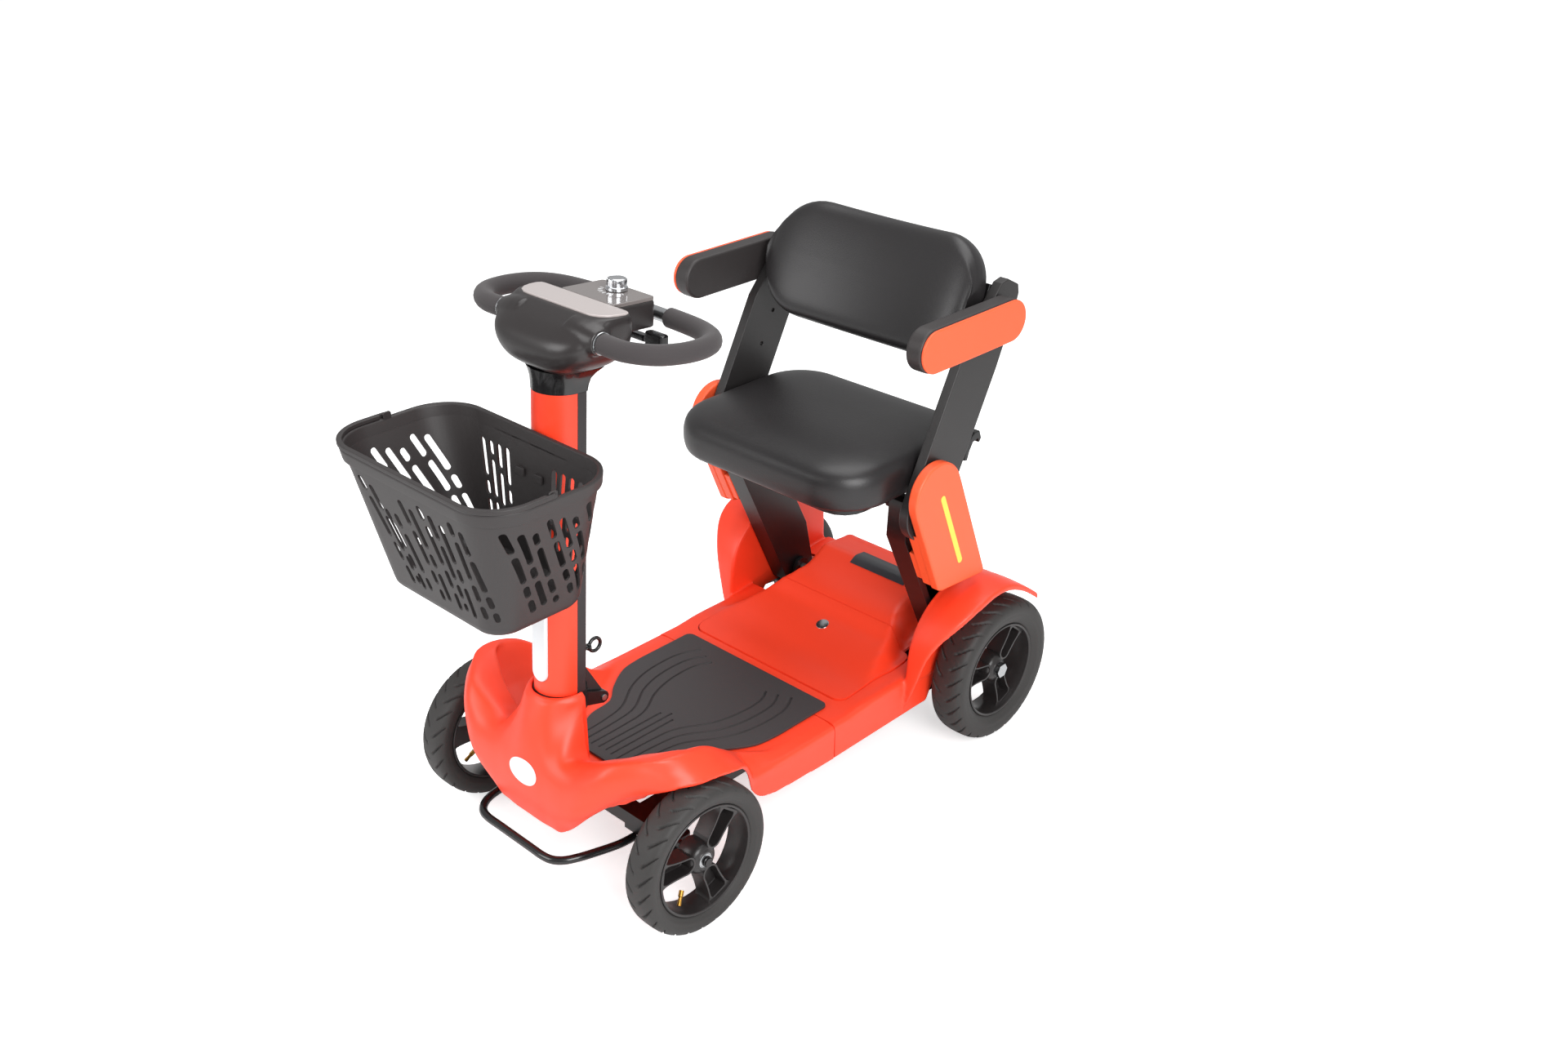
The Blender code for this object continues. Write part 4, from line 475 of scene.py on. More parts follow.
PLAIN = (
    ("chassis_frame", "chassis", POWDER, 1.2), ("battery_pack", "chassis", BATTERY, 3.0),
    ("drive_motor_left", "chassis", CAST, 1.5), ("drive_motor_right", "chassis", CAST, 1.5),
    ("leg_pivot_shaft", "chassis", ZINC, 0.6), ("knuckle_left", "knuckle_left", POWDER, 0.8),
    ("knuckle_right", "knuckle_right", POWDER, 0.8), ("tie_rod", "tie_rod", ZINC, 0.8),
    ("steering_stem", "stem", POWDER, 0.8), ("column_core", "tiller", ANODISED, 0.8),
    ("tiller_hinge_pin", "tiller", ZINC, 0.5), ("fold_release_lever", "release_lever", GREY_PP, 1.2),
    ("basket_bracket", "tiller", GREY_PP, 0.8), ("leg_left", "legs", POWDER, 1.4), ("leg_right", "legs", POWDER, 1.4),
    ("seat_pivot_shaft", "legs", ZINC, 0.6), ("seat_pan", "seat", POWDER, 1.0), ("backrest_frame", "back", POWDER, 1.0),
    ("seat_latch", "seat_latch", POWDER, 1.2),
)
for node, body, coat, width in PLAIN:
    finish_piece(from_node(node, node + "_edged", mm(width)), coat, body, node)


# Wheels

def shoulder_groove(turn, across, radius, pitch, slant):
    """Depth of the slanted shoulder grooves at a place on the tread."""
    side = 1 if across > 0 else -1
    reach = abs(across)
    if reach < 0.16 or reach > 0.97:
        return 0.0
    shift = slant * (reach - 0.16) ** 1.4 + (0.5 * pitch if side < 0 else 0.0)
    off = ((turn - shift) % pitch) - pitch / 2
    width = 0.0021 / radius
    if abs(off) > width:
        return 0.0
    ends = min((reach - 0.16) / 0.05, (0.97 - reach) / 0.08, 1.0)
    return 0.0028 * ends * math.cos(off / width * math.pi / 2) ** 0.5


def tyre(name, radius, half, seat, count, slant):
    """Tyre round the X axis, with grooves cut across both shoulders and a line on each wall."""
    wall = radius - seat
    side = [(0.68, 0.01), (0.8, 0.1), (0.955, 0.32), (1.0, 0.56), (0.965, 0.74), (0.84, 0.885), (0.62, 0.965),
            (0.34, 0.995), (0.0, 1.0)]
    line = [(h * half, seat + wall * r) for h, r in side]
    line += [(-h, r) for h, r in reversed(line[:-1])]
    section = [(max(min(h, half), -half), min(r, radius)) for h, r in flat_curve(line, 4)]
    section += [(-half * 0.66, seat + 0.0006), (half * 0.66, seat + 0.0006)]
    steps = 640
    pitch = math.tau / count
    rows = []
    for i in range(steps + 1):
        turn = math.tau * (i % steps) / steps
        row = []
        for h, r in section + [section[0]]:
            share = (r - seat) / wall
            if share > 0.62:
                r -= shoulder_groove(turn, h / half, radius, pitch, slant)
            if 0.2 < share < 0.25 or 0.44 < share < 0.48:
                h *= 0.985
            row.append((h, r * math.sin(turn), r * math.cos(turn)))
        rows.append(row)
    obj = skin(name, rows)
    tidy(obj)
    return obj


def spoke(name, seat):
    """One wide spoke: a thin raised wall round a deep pocket that opens towards the barrel."""
    tip = seat - 0.0045
    right = flat_curve(((0.0132, 0.029), (0.0136, 0.04), (0.0146, 0.052), (0.0172, tip - 0.008), (0.0235, tip)), 4)
    outline = arc((0, 0.029), 0.0132, 180, 360, 16)[:-1] + right + [(-x, y) for x, y in reversed(right[1:])]
    obj = plate(name, outline, "x", -0.012, 0.0155)
    right = flat_curve(((0.0104, 0.0296), (0.0108, 0.04), (0.0117, 0.052), (0.0134, tip - 0.01),
                        (0.0115, tip - 0.004)), 4)
    outline = arc((0, 0.0296), 0.0104, 180, 360, 16)[:-1] + right + [(-x, y) for x, y in reversed(right)]
    pocket = plate("pocket", outline, "x", -0.004, 0.03)
    cut(obj, [pocket])
    round_over(obj, 0.0011, 3, 40)
    return obj


def rim(name, seat, half, bore):
    """Dished wheel: barrel with rolled lips, three spokes and a hub."""
    bead = half * 0.68
    flange = bead + 0.0003
    lip = flange + 0.003
    half_wall = [(seat - 0.0002, flange), (seat + 0.0006, flange + 0.0006), (seat + 0.0008, lip - 0.0008),
                 (seat - 0.0002, lip), (seat - 0.0016, lip - 0.0001), (seat - 0.003, lip - 0.0012),
                 (seat - 0.004, flange * 0.82), (seat - 0.0054, flange * 0.5), (seat - 0.006, 0.0)]
    section = [(r, -h) for r, h in half_wall] + list(reversed(half_wall[:-1]))
    barrel = turned(name + "_barrel", section, "x", steps=96)
    swell = mm(((19.5, -18), (22.5, -14), (23.5, -2), (22.5, 10), (19.5, 14), (16.5, 15.5), (14, 16.8), (13.2, 17.8)))
    hub = turned(name + "_hub", [(bore, -0.018), *swell, (bore, 0.018)], "x")
    first = spoke(name + "_spoke", seat)
    spokes = [twin(first, f"{name}_spoke_{i}", Matrix.Rotation(math.tau * i / 3, 4, "X")) for i in range(3)]
    bpy.data.objects.remove(first)
    return join(name, [barrel, hub] + spokes)


WHEEL_REST = math.radians(-40)


def hang(obj, name, side, track, axle):
    """A wheel piece turned to its rest angle and carried to its axle."""
    matrix = Matrix.Translation((side * track, *axle))
    if side < 0:
        matrix = matrix @ ACROSS
    return twin(obj, name, matrix @ Matrix.Rotation(WHEEL_REST, 4, "X"))


# Tyre radius and half width, bead seat, half track, axle (y, z), hub bore, then count and slant of the grooves.
WHEELS = (
    ("front", 0.108, 0.0245, 0.0795, 0.222, (-0.3125, 0.108), 0.0113, 25, math.radians(17)),
    ("rear", 0.1165, 0.029, 0.0762, 0.2253, (0.3125, 0.1165), 0.0078, 28, math.radians(15)),
)
for place, radius, half, seat, track, axle, bore, count, slant in WHEELS:
    rubber = tyre(place + "_tyre_mould", radius, half, seat, count, slant)
    wheel_rim = rim(place + "_rim_mould", seat, half, bore)
    valve = turned("valve_mould", mm(((0, 0), (3.4, 0), (3.4, 8), (2.5, 9), (2.5, 15), (2.9, 16), (2.9, 20),
                                      (0, 20))), "z", steps=20)
    valve.data.transform(Matrix.Rotation(math.radians(180), 4, "X") @ Matrix.Translation((0.004, 0, seat - 0.03))
                         @ Matrix.Rotation(math.radians(20), 4, "Y"))
    bolt = turned("bolt_mould", mm(((0, 18), (3, 18), (3.4, 21.5), (6.2, 22.2), (7.2, 21.2), (7.4, 18.6),
                                    (0, 18.4))), "x", steps=36)
    bearing = turned("bearing_mould", mm(((6.6, 11), (11, 11), (11, 17.6), (10, 18.2), (9, 17.2), (7.8, 17.2),
                                          (6.6, 18))), "x", steps=48)
    for side, hand in SIDES:
        which = f"{place}_{hand}"
        body = which + "_wheel"
        finish_piece(hang(rubber, which + "_tyre_tread", side, track, axle), TYRE_RUBBER, body, which + "_tyre",
                     smooth=40)
        finish_piece(hang(wheel_rim, which + "_rim_spokes", side, track, axle), RIM_ABS, body, which + "_rim")
        if place == "front":
            finish_piece(hang(valve, which + "_valve", side, track, axle), BRASS, body)
            finish_piece(hang(bearing, which + "_bearing_ring", side, track, axle), ZINC, body, which + "_bearing")
            finish_piece(hang(bolt, which + "_axle_bolt", side, track, axle), POWDER, "knuckle_" + hand)
        else:
            shaft = from_node(which + "_shaft", which + "_shaft_turned", 0.0008)
            finish_piece(shaft, ZINC, body, which + "_shaft")
    for mould in (rubber, wheel_rim, valve, bolt, bearing):
        bpy.data.objects.remove(mould)


# Column

def d_section(half, nose, rear, height, steps=32):
    """Column section: round front, straight sides, flat back with small corners."""
    ring = [(-half * math.cos(a), -nose * math.sin(a), height) for a in (math.pi * i / steps for i in range(steps + 1))]
    corner = min(0.005, rear * 0.3)
    ring += [(x, y, height) for x, y in arc((half - corner, rear - corner), corner, 0, 90, 5)]
    ring += [(x, y, height) for x, y in arc((-half + corner, rear - corner), corner, 90, 180, 5)]
    return ring


SEAM, COLUMN_TOP = 0.2045, 0.622


def light_line(wider):
    """Outline of the light strip, a little wider or narrower."""
    return pill((0, 0.236), (0, 0.331), 0.014 + wider, 14)


nose_line = [(-0.034 * math.cos(a), -0.035 * math.sin(a)) for a in (math.pi * i / 40 for i in range(41))]
nose_line = [(-0.034, 0.0012)] + nose_line[1:-1] + [(0.034, 0.0012)]
inner_line = [(x * 0.912, y * 0.914) for x, y in nose_line]
cover = plate("column_front_cover", nose_line + list(reversed(inner_line)), "z", SEAM, COLUMN_TOP)
cut(cover, [plate("window", light_line(0.0003), "y", -0.06, -0.02)])
round_over(cover, 0.0006, 2, 50)
finish_piece(to_column(cover), RED_ABS, "tiller", "column_cover")
strip = plate("column_light_strip", light_line(-0.0002), "y", -0.0362, -0.025, 0.002, 4)
finish_piece(to_column(strip), LENS, "tiller", "column_light")

COLLAR = mm(((34.5, 35.5, 19.5, 0.4), (35.2, 35.8, 20.5, 8), (36.2, 36.2, 23.2, 16), (39.2, 37.5, 29, 23),
             (44, 39, 37, 29.7)))
collar = loft("neck_flare", [d_section(half, nose, rear, COLUMN_TOP + rise) for half, nose, rear, rise in COLLAR])
finish_piece(to_column(collar), GLOSS_ABS, "tiller", "neck_collar")

eye = bar("safety_ring_eye", [(0, y, z) for y, z in hole(0.059, 0.244, 0.0095, 40)], 0.0026, True)
pin = turned("safety_ring_pin", mm(((0, 8), (3.5, 8), (3.5, 46), (5, 46.2), (5, 50), (0, 50.2))), "y",
             (0, 0, 0.244), 24)
finish_piece(to_column(join("safety_ring", [eye, pin])), GLOSS_ABS, "latch_ring", "latch_ring")


# Control head

HEAD_POWER = 0.56    # 1 is an ellipse, 0 a rectangle


def head_ring(height, half, front, rear, steps=64):
    """Rounded outline of the control head at a height."""
    middle, reach = (front + rear) / 2, (rear - front) / 2
    ring = []
    for a in (math.tau * i / steps for i in range(steps)):
        x, y = (math.copysign(abs(v) ** HEAD_POWER, v) for v in (math.cos(a), math.sin(a)))
        ring.append((half * x, middle + reach * y, height))
    return ring


LOOP_Z = 0.702
HEAD = mm(((652.3, 45, -34, 40), (662, 63, -47.5, 52), (677, 79, -53.5, 60), (695, 87.5, -51.5, 62),
           (710, 89, -38, 60), (720, 89.2, -22.5, 56), (727.2, 88, -8.5, 50)))
dome = loft("dome", [head_ring(*row) for row in curve_through(HEAD, 5)])
console = plate("console_back", round_rect(-0.05, 0.05, 0.03, 0.112, 0.006, 6), "z", 0.69, 0.7245)
BOSS = mm(((0, 45), (24.5, 45), (23.5, 62), (21.2, 74), (18.2, 84), (15.6, 91.5), (0, 91.5)))
bosses = [turned("boss", [(r, side * h) for r, h in BOSS], "x", (0, -0.0105, LOOP_Z), 48) for side in (1, -1)]
head = moulded_from("head_moulding", [dome, console] + bosses, 0.0018, 16)
bay = plate("lever_bay", [(0.076, 0.65), (0.14, 0.65), (0.14, 0.6885), (0.076, 0.6885)], "x", -0.06, 0.06)
cut(head, [bay], "MANIFOLD")
finish_piece(to_column(head), HEAD_ABS, "tiller", "head_shell")

panel_line = mm(((0, -4.5), (52, -4.5), (64, -3.5), (73.5, 1), (80.5, 9.5), (84.2, 21), (85, 32), (82.5, 38.5),
                 (77, 40.5), (0, 40.5)))
panel_line += tuple((-x, y) for x, y in reversed(panel_line[1:-1]))
panel = plate("console_panel_film", panel_line, "z", 0.7265, 0.7296, 0.0011, 3)
finish_piece(to_column(panel), PANEL, "tiller", "console_panel")
cap_line = round_rect(-0.049, 0.049, 0.0418, 0.111, 0.005, 6)
finish_piece(to_column(plate("console_cap", cap_line, "z", 0.724, 0.729, 0.001, 3)), CAP, "tiller")
DIAL_Y, MARK_REACH = 0.091, 0.0205
marks = []
for i in range(9):
    a = math.radians(20 + 17.5 * i)
    mark = plate(f"mark_{i}", round_rect(-0.003, 0.003, -0.0005, 0.0005, 0.0003, 2), "z", 0.7286, 0.7293)
    marks.append(carried(mark, Matrix.Translation((MARK_REACH * math.cos(a), DIAL_Y - MARK_REACH * math.sin(a), 0))
                         @ Matrix.Rotation(-a, 4, "Z")))
finish_piece(to_column(join("dial_scale", marks)), LENS, "tiller")

KNOB = mm(((0, 11), (0, 13.4), (0.6, 14), (4.4, 14), (5, 13.4), (5.4, 12.4), (5.8, 12.6), (6.6, 13), (13.6, 13),
           (14.4, 12.6), (15, 11.8), (15.6, 10.6), (15.2, 9.8), (15, 0.4)))
SCALLOPED = range(6, 10)
knob_rows = []
for level, (height, radius) in enumerate(KNOB):
    ring = []
    for i in range(144):
        a = math.tau * i / 144
        r = radius - (0.0009 if level in SCALLOPED and i % 12 in (0, 1, 2) else 0.0)
        ring.append((r * math.cos(a), DIAL_Y + r * math.sin(a), 0.7294 + height))
    knob_rows.append(ring)
finish_piece(to_column(loft("speed_dial_knob", knob_rows)), CHROME, "speed_dial", "speed_dial")

lever = [plate("lever_bar", round_rect(-0.052, 0.052, 0.092, 0.104, 0.005, 5), "z", 0.674, 0.682, 0.0018)]
for x in (-0.064, 0.064):
    paddle_line = round_rect(x - 0.017, x + 0.017, 0.094, 0.108, 0.0055, 5)
    lever.append(plate("lever_paddle", paddle_line, "z", 0.664, 0.688, 0.0026, 4))
lever.append(turned("lever_post", mm(((0, 680), (4, 680), (4, 694), (0, 694))), "z", (0, 0.098, 0), 24))
finish_piece(to_column(join("throttle_paddles", lever)), GLOSS_ABS, "throttle", "throttle_lever")

LOOP = mm(((40, -5), (90, -10), (132, -9), (165, 14), (177, 55), (166, 95), (130, 118), (60, 126)))
loop_line = [(x, y, LOOP_Z) for x, y in LOOP] + [(-x, y, LOOP_Z) for x, y in reversed(LOOP)]
loop_line = curve_through(loop_line, 10, True)
finish_piece(to_column(bar("steering_loops_tube", loop_line, 0.009, True)), ZINC, "tiller", "handle_tube")
for side, hand in SIDES:
    sleeve = [p for p in loop_line if side * p.x > 0.05 and (p.y > 0.09 or side * p.x > 0.093)]
    sleeve.sort(key=lambda p: math.atan2(p.y - 0.056, side * p.x - 0.1))
    foam = bar(f"foam_sleeve_{hand}", sleeve, 0.0128, resolution=7)
    round_over(foam, 0.0022, 3, 60)
    finish_piece(to_column(foam), EVA_FOAM, "tiller", "grip_" + hand)
    ring = turned(f"loop_socket_{hand}", mm(((9.2, -1), (13.6, -1), (14.1, 0), (13.6, 1), (9.2, 1))), "x",
                  (side * 0.0928, -0.0105, LOOP_Z), 48)
    finish_piece(to_column(ring), ZINC, "tiller")


# Basket

def column_front(z):
    return HEAD_Y + (z - HEAD_Z) * math.tan(RAKE) - 0.035 / math.cos(RAKE)


def basket_line(z, half, front, inset, radius, steps=10):
    """Level outline of the basket, from the middle of its rear side round to the sitter's right."""
    line = round_rect(-half, half, front, column_front(z) - 0.0075 - inset, radius, steps)
    start = steps + 1
    line = line[:start] + [(0.0, line[start - 1][1])] + line[start:]
    return [Vector((x, y, z)) for x, y in line[start:] + line[:start]]


FOOT_Z, LIP_Z = 0.486, 0.6455
FOOT, LIP = mm(((116, -517, 36), (162, -543, 56)))    # half width, front, corner radius
LOW_RING = basket_line(FOOT_Z, *FOOT[:2], 0.0, FOOT[2])
HIGH_RING = basket_line(LIP_Z, *LIP[:2], 0.0, LIP[2])
MIDWAY = [a.lerp(b, 0.6) for a, b in zip(LOW_RING, HIGH_RING)]
REACHED = [0.0]
for a, b in zip(MIDWAY, MIDWAY[1:] + MIDWAY[:1]):
    REACHED.append(REACHED[-1] + (b - a).length)
ROUND, TALL = REACHED[-1], LIP_Z - FOOT_Z


def on_wall(u, height, depth):
    """Bend a point of the flat wall round the basket."""
    place = min(max(u, 0.0), ROUND - 1e-7)
    i = next(k for k in range(len(MIDWAY)) if REACHED[k + 1] > place)
    share = (place - REACHED[i]) / (REACHED[i + 1] - REACHED[i])
    before, here, then, after = (LOW_RING[k % len(LOW_RING)].lerp(HIGH_RING[k % len(LOW_RING)], height / TALL)
                                 for k in range(i - 1, i + 3))
    way = ((then - before).normalized() * (1 - share) + (after - here).normalized() * share).normalized()
    return here.lerp(then, share) + Vector((-way.y, way.x, 0)) * depth


SLOT_RADIUS, SLOT_GAP = 0.0045, 0.0058


def slot_column(u, lean, sizes, low, high):
    """Long and short slots below each other, each leaning the same way."""
    made = []
    top, i = high, 0
    tilt = math.tan(math.radians(lean))
    while top - low > 0.011:
        length = min(sizes[i % len(sizes)], top - low)
        if length < 0.0105:
            break
        half = length / 2 - SLOT_RADIUS
        middle = top - length / 2
        shift = (high - middle) * tilt
        made.append(plate("slot", pill((u + shift - half * tilt, middle - FOOT_Z + half),
                                       (u + shift + half * tilt, middle - FOOT_Z - half), SLOT_RADIUS, 6),
                          "z", -0.01, 0.01))
        top -= length + SLOT_GAP
        i += 1
    return made


LONG_FIRST, SHORT_FIRST, MIXED = mm(((50, 19, 46, 24), (19, 50, 24, 42), (32, 44, 19, 34)))
slots = []
for i in range(8):
    pattern = (MIXED, LONG_FIRST, SHORT_FIRST)[i % 3]
    slots += slot_column(0.556 + 0.0192 * i, 20, pattern, 0.498 + 0.004 * (i % 2), 0.632 - 0.006 * (i % 3))
    slots += slot_column(0.302 - 0.0192 * i, -20, pattern, 0.498 + 0.004 * (i % 2), 0.632 - 0.006 * (i % 3))
for i in range(11):
    pattern = (SHORT_FIRST, MIXED, LONG_FIRST)[i % 3]
    high = 0.6 if 2 <= i <= 3 else 0.632 - 0.006 * (i % 3)
    slots += slot_column(0.322 + 0.0185 * i, 19, pattern, 0.498 + 0.004 * (i % 2), high)
for i in range(4):
    pattern = (LONG_FIRST, MIXED, SHORT_FIRST, LONG_FIRST)[i]
    slots += slot_column(0.044 + 0.0155 * i, 0, pattern, 0.506, 0.625)
    slots += slot_column(ROUND - 0.044 - 0.0155 * i, 0, pattern, 0.506, 0.625)

deselect()
bpy.ops.mesh.primitive_grid_add(x_subdivisions=260, y_subdivisions=36)
wall = named("basket_wall")
for vertex in wall.data.vertices:
    vertex.co = ((vertex.co.x + 1) / 2 * ROUND, (vertex.co.y + 1) / 2 * TALL, 0)
modify(wall, "SOLIDIFY", thickness=0.003, offset=1)
cut(wall, slots, "MANIFOLD")
work = bmesh.new()
work.from_mesh(wall.data)
seam = [f for f in work.faces if all(v.co.x < 1e-6 for v in f.verts) or all(v.co.x > ROUND - 1e-6 for v in f.verts)]
bmesh.ops.delete(work, geom=seam, context="FACES")
for vertex in work.verts:
    vertex.co = on_wall(vertex.co.x, vertex.co.y, vertex.co.z)
work.to_mesh(wall.data)
work.free()
tidy(wall)


def ring_row(z, out, half, front, radius):
    """One ring of the rim or the floor, standing out from the wall."""
    rise = max(z - 0.645, 0.0) / 0.016
    return basket_line(z, half + 0.004 * rise + out, front - 0.003 * rise - out, -out,
                       radius + 0.004 * rise + out * 0.9, 20)


RIM = mm(((643.5, -3), (643.5, 2.6), (644.2, 3.8), (646, 4.1), (657.5, 4), (659.8, 3.4), (660.9, 2.2),
          (661, -0.8), (660.2, -2.4), (658.4, -3), (643.5, -3)))
rim_band = skin("basket_rim", [row + [row[0]] for row in (ring_row(z, out, *LIP) for z, out in RIM)])
tidy(rim_band)
DISH = mm(((474, -14), (474.4, -10), (476.4, -5), (480.6, -1.6), (486.4, 0), (486.4, -3), (481.2, -4.6),
           (478.4, -8), (477, -15)))
floor_dish = loft("basket_floor", [ring_row(z, out, *FOOT) for z, out in DISH])
ears = [slab("bail_ear", round_rect(-0.461, -0.449, 0.655, 0.6685, 0.003, 4), side, 0.1625, 0.1657, 0.0008, 2)
        for side in (1, -1)]
basket = join("slotted_basket", [wall, rim_band, floor_dish] + ears)
finish_piece(basket, GREY_PP, "basket", "basket", smooth=40)

strap = []
for inset in (0.0, 0.007):
    half, front, bend = 0.17 - inset, -0.55 + inset, 0.06 - inset
    line = [(0.166, -0.455), (0.166, -0.464), (half, -0.465)] if inset else [(0.17, -0.455)]
    line += [(half - bend + bend * math.cos(a), front + bend * (1 - math.sin(a)))
             for a in (math.pi / 2 * i / 14 for i in range(15))]
    line += [(-x, y) for x, y in reversed(line)]
    strap += reversed(line) if inset else line
carry = plate("carrying_strap", strap, "z", 0.6613, 0.6669, 0.0012, 3)
pins = [turned("strap_pin", mm(((0, 0), (2.2, 0), (2.2, 6.6), (0, 6.6))), "x", (x, -0.455, 0.6641), 20)
        for x in (0.163, -0.1696)]
finish_piece(join("carrying_strap", [carry] + pins), GREY_PP, "basket_handle", "basket_handle")


# Body shells

# Front shell along y: the wing's edge and crest, the floor's half width and the skirt's hem.
EDGE_X = mm(((-389, 140), (-374.5, 160), (-357, 182), (-346, 204), (-330, 220), (-305.5, 232), (-280, 233.5),
             (-250, 230), (-226, 226), (-210, 215), (-195, 203), (-180, 193), (-172, 188)))
EDGE_Z = mm(((-389, 182), (-374.5, 197.5), (-357, 210.5), (-346, 220), (-330, 224.5), (-305.5, 225),
             (-280, 222.5), (-250, 212.5), (-226, 206.5), (-210, 194), (-195, 176), (-180, 152), (-172, 138)))
CREST_X = mm(((-389, 128), (-381, 150), (-368, 168), (-358, 180), (-345, 188), (-330, 192), (-300, 193),
              (-269, 190), (-250, 185), (-230, 178), (-205, 169), (-190, 161), (-170, 153), (-150, 154),
              (-120, 166)))
CREST_Z = mm(((-389, 240), (-381, 250), (-368, 257), (-358, 259.5), (-330, 259), (-315, 257.8), (-300, 254.8),
              (-285, 250.5), (-269, 244), (-250, 231.5), (-230, 214.5), (-205, 194), (-190, 181), (-170, 165),
              (-150, 155), (-120, 146), (-90, 143)))
FLOOR_X = mm(((-385, 50), (-310, 62), (-270, 78), (-240, 94), (-200, 108), (-160, 128), (-120, 150)))
HEM_Z = mm(((-250, 230), (-240, 207), (-226, 200), (-215, 188.5), (-200, 170.5), (-190, 156), (-182, 140),
            (-177, 127), (-172, 114), (-164, 102.5), (-153, 95.5), (-140, 91.5), (-120, 88), (-60, 85),
            (0, 82)))


def floor_row(y):
    """Section of the front shell at y: floor, wing and skirt."""
    floor = DECK - 0.001
    inner, crest, crest_z, edge, edge_z, hem = (read(table, y) for table in (FLOOR_X, CREST_X, CREST_Z, EDGE_X, EDGE_Z,
                                                                             HEM_Z))
    hem = min(hem, edge_z - 0.004)
    return mirrored([(0, y, floor), (inner * 0.6, y, floor), (inner, y, floor + 0.001),
                     (inner * 0.32 + crest * 0.68, y, floor * 0.42 + crest_z * 0.58), (crest, y, crest_z),
                     (crest * 0.45 + edge * 0.55, y, crest_z * 0.58 + edge_z * 0.42), (edge, y, edge_z),
                     (edge, y, edge_z * 0.7 + hem * 0.3), (edge - 0.0005, y, hem)])


# The prow from its hem up, in columns from the middle outwards over the wheel.
SHIELD = mm((
    ((0, -414, 112), (0, -424, 150), (0, -424.5, 190), (0, -418, 222), (0, -410, 248), (0, -400, 270),
     (0, -389.5, 289.5)),
    ((30, -414, 112), (30, -424, 150), (30, -423.5, 190), (30, -414, 222), (29, -402, 248), (28, -391, 270),
     (28, -382, 289.5)),
    ((46, -412.5, 112), (48, -423.5, 150), (49, -422.5, 188), (50, -414, 214), (49.5, -395, 236),
     (47, -368, 262), (44.5, -348, 288.5)),
    ((64, -411, 112.5), (67, -423.5, 150), (68, -422.5, 186), (69, -416, 206), (69, -404, 219),
     (67, -384, 222.5), (66, -356, 211)),
    ((82, -404.5, 124), (87, -422.5, 154), (90, -421.5, 186), (92, -414.5, 207), (93, -402, 220),
     (92, -381, 226.5), (88, -348, 208.5)),
    ((100, -404.5, 142), (109, -419.5, 166), (114, -419, 191), (116, -413, 213), (117, -401, 229),
     (116, -382, 238), (111, -346, 223)),
    ((120, -402, 163.7), (130, -410, 180), (137, -409, 202), (140, -405.5, 222), (141, -397, 240),
     (140, -380, 249.5), (134, -340, 234)),
    ((140, -388, 182), (150, -394.5, 195), (157, -394.5, 212), (160, -391.5, 229), (161, -384, 245),
     (159, -370, 255.5), (152, -332, 244)),
    ((160, -373.5, 197.5), (170, -376.5, 206.5), (178, -375, 220), (181, -371, 235), (182, -363, 249),
     (180, -351, 258), (172, -322, 252)),
    ((195, -354, 212.5), (199, -353, 217), (200.5, -350.5, 224), (200, -346, 235), (197.5, -340, 246.5),
     (193, -332, 256), (184, -313, 257)),
    ((215, -337, 219.5), (216.5, -335.5, 222), (216, -332, 226.5), (213, -327, 236), (208, -321, 245),
     (201, -314, 252.5), (190, -300, 255)),
))


WALL = 0.0042


def walled(name, rows, down, across):
    """A surface through rows of points, given a wall behind it."""
    obj = skin(name, finer(rows, down, across))
    modify(obj, "SOLIDIFY", thickness=WALL, offset=-1)
    return obj


def trim(obj, place, normal):
    """Cut a piece off square and close the cut."""
    with editing(obj):
        bpy.ops.mesh.bisect(plane_co=place, plane_no=normal, use_fill=True, clear_outer=True)


rows = [floor_row(y) for y in mm((-385, -374, -363, -352, -340, -325, -310, -290, -270, -250, -230, -215, -200, -190,
                                  -182, -176, -171, -166, -160, -153, -146, -137, -120, -100, -60, -20, 6))]
floor_sheet = walled("floor_sheet", rows, 3, 3)
shield_sheet = walled("shield_sheet", [mirrored(level) for level in zip(*SHIELD)], 6, 5)
TOWER = (0, HEAD_Y + 0.0165)


def tower_ring(name, outer, inner, low, high):
    """Most of a ring round the tiller's foot, open behind."""
    return plate(name, arc(TOWER, outer, 170, 370, 40) + arc(TOWER, inner, 370, 170, 40), "z", low, high)


tower = tower_ring("tower", 0.0458, 0.0385, DECK - 0.003, 0.288)
tower_lip = tower_ring("tower_lip", 0.0422, 0.0368, 0.28, 0.293)
prow = moulded_from("front_shell_moulding", [floor_sheet, shield_sheet, tower, tower_lip], 0.0024, 18)
trim(prow, (0, -0.0063, 0), (0, 1, 0))
cut(prow, [plate("stem_well", hole(*TOWER, 0.0408, 64), "z", 0.1, 0.148)], "MANIFOLD")
front_shell = finish_piece(prow, RED_ABS, "chassis", "front_shell", smooth=50)


def deck_height(x, y):
    """Top of the rear shell: flat deck, rising lid and hump, with leg wells."""
    along = read(((0.03, DECK), (0.1, DECK + 0.006), (0.18, DECK + 0.03), (0.215, DECK + 0.05), (0.255, 0.208),
                  (0.285, 0.226), (0.345, 0.22), (0.388, 0.17)), y)
    well = read(((0.17, DECK + 0.004), (0.26, DECK + 0.015), (0.388, DECK + 0.026)), y)
    width = read(((0.1, 0.15), (0.19, 0.12), (0.24, 0.098)), y)
    share = min(max((width + 0.024 - abs(x)) / 0.024, 0.0), 1.0)
    share = share * share * (3 - 2 * share)
    return well + (along - well) * share if along > well else along


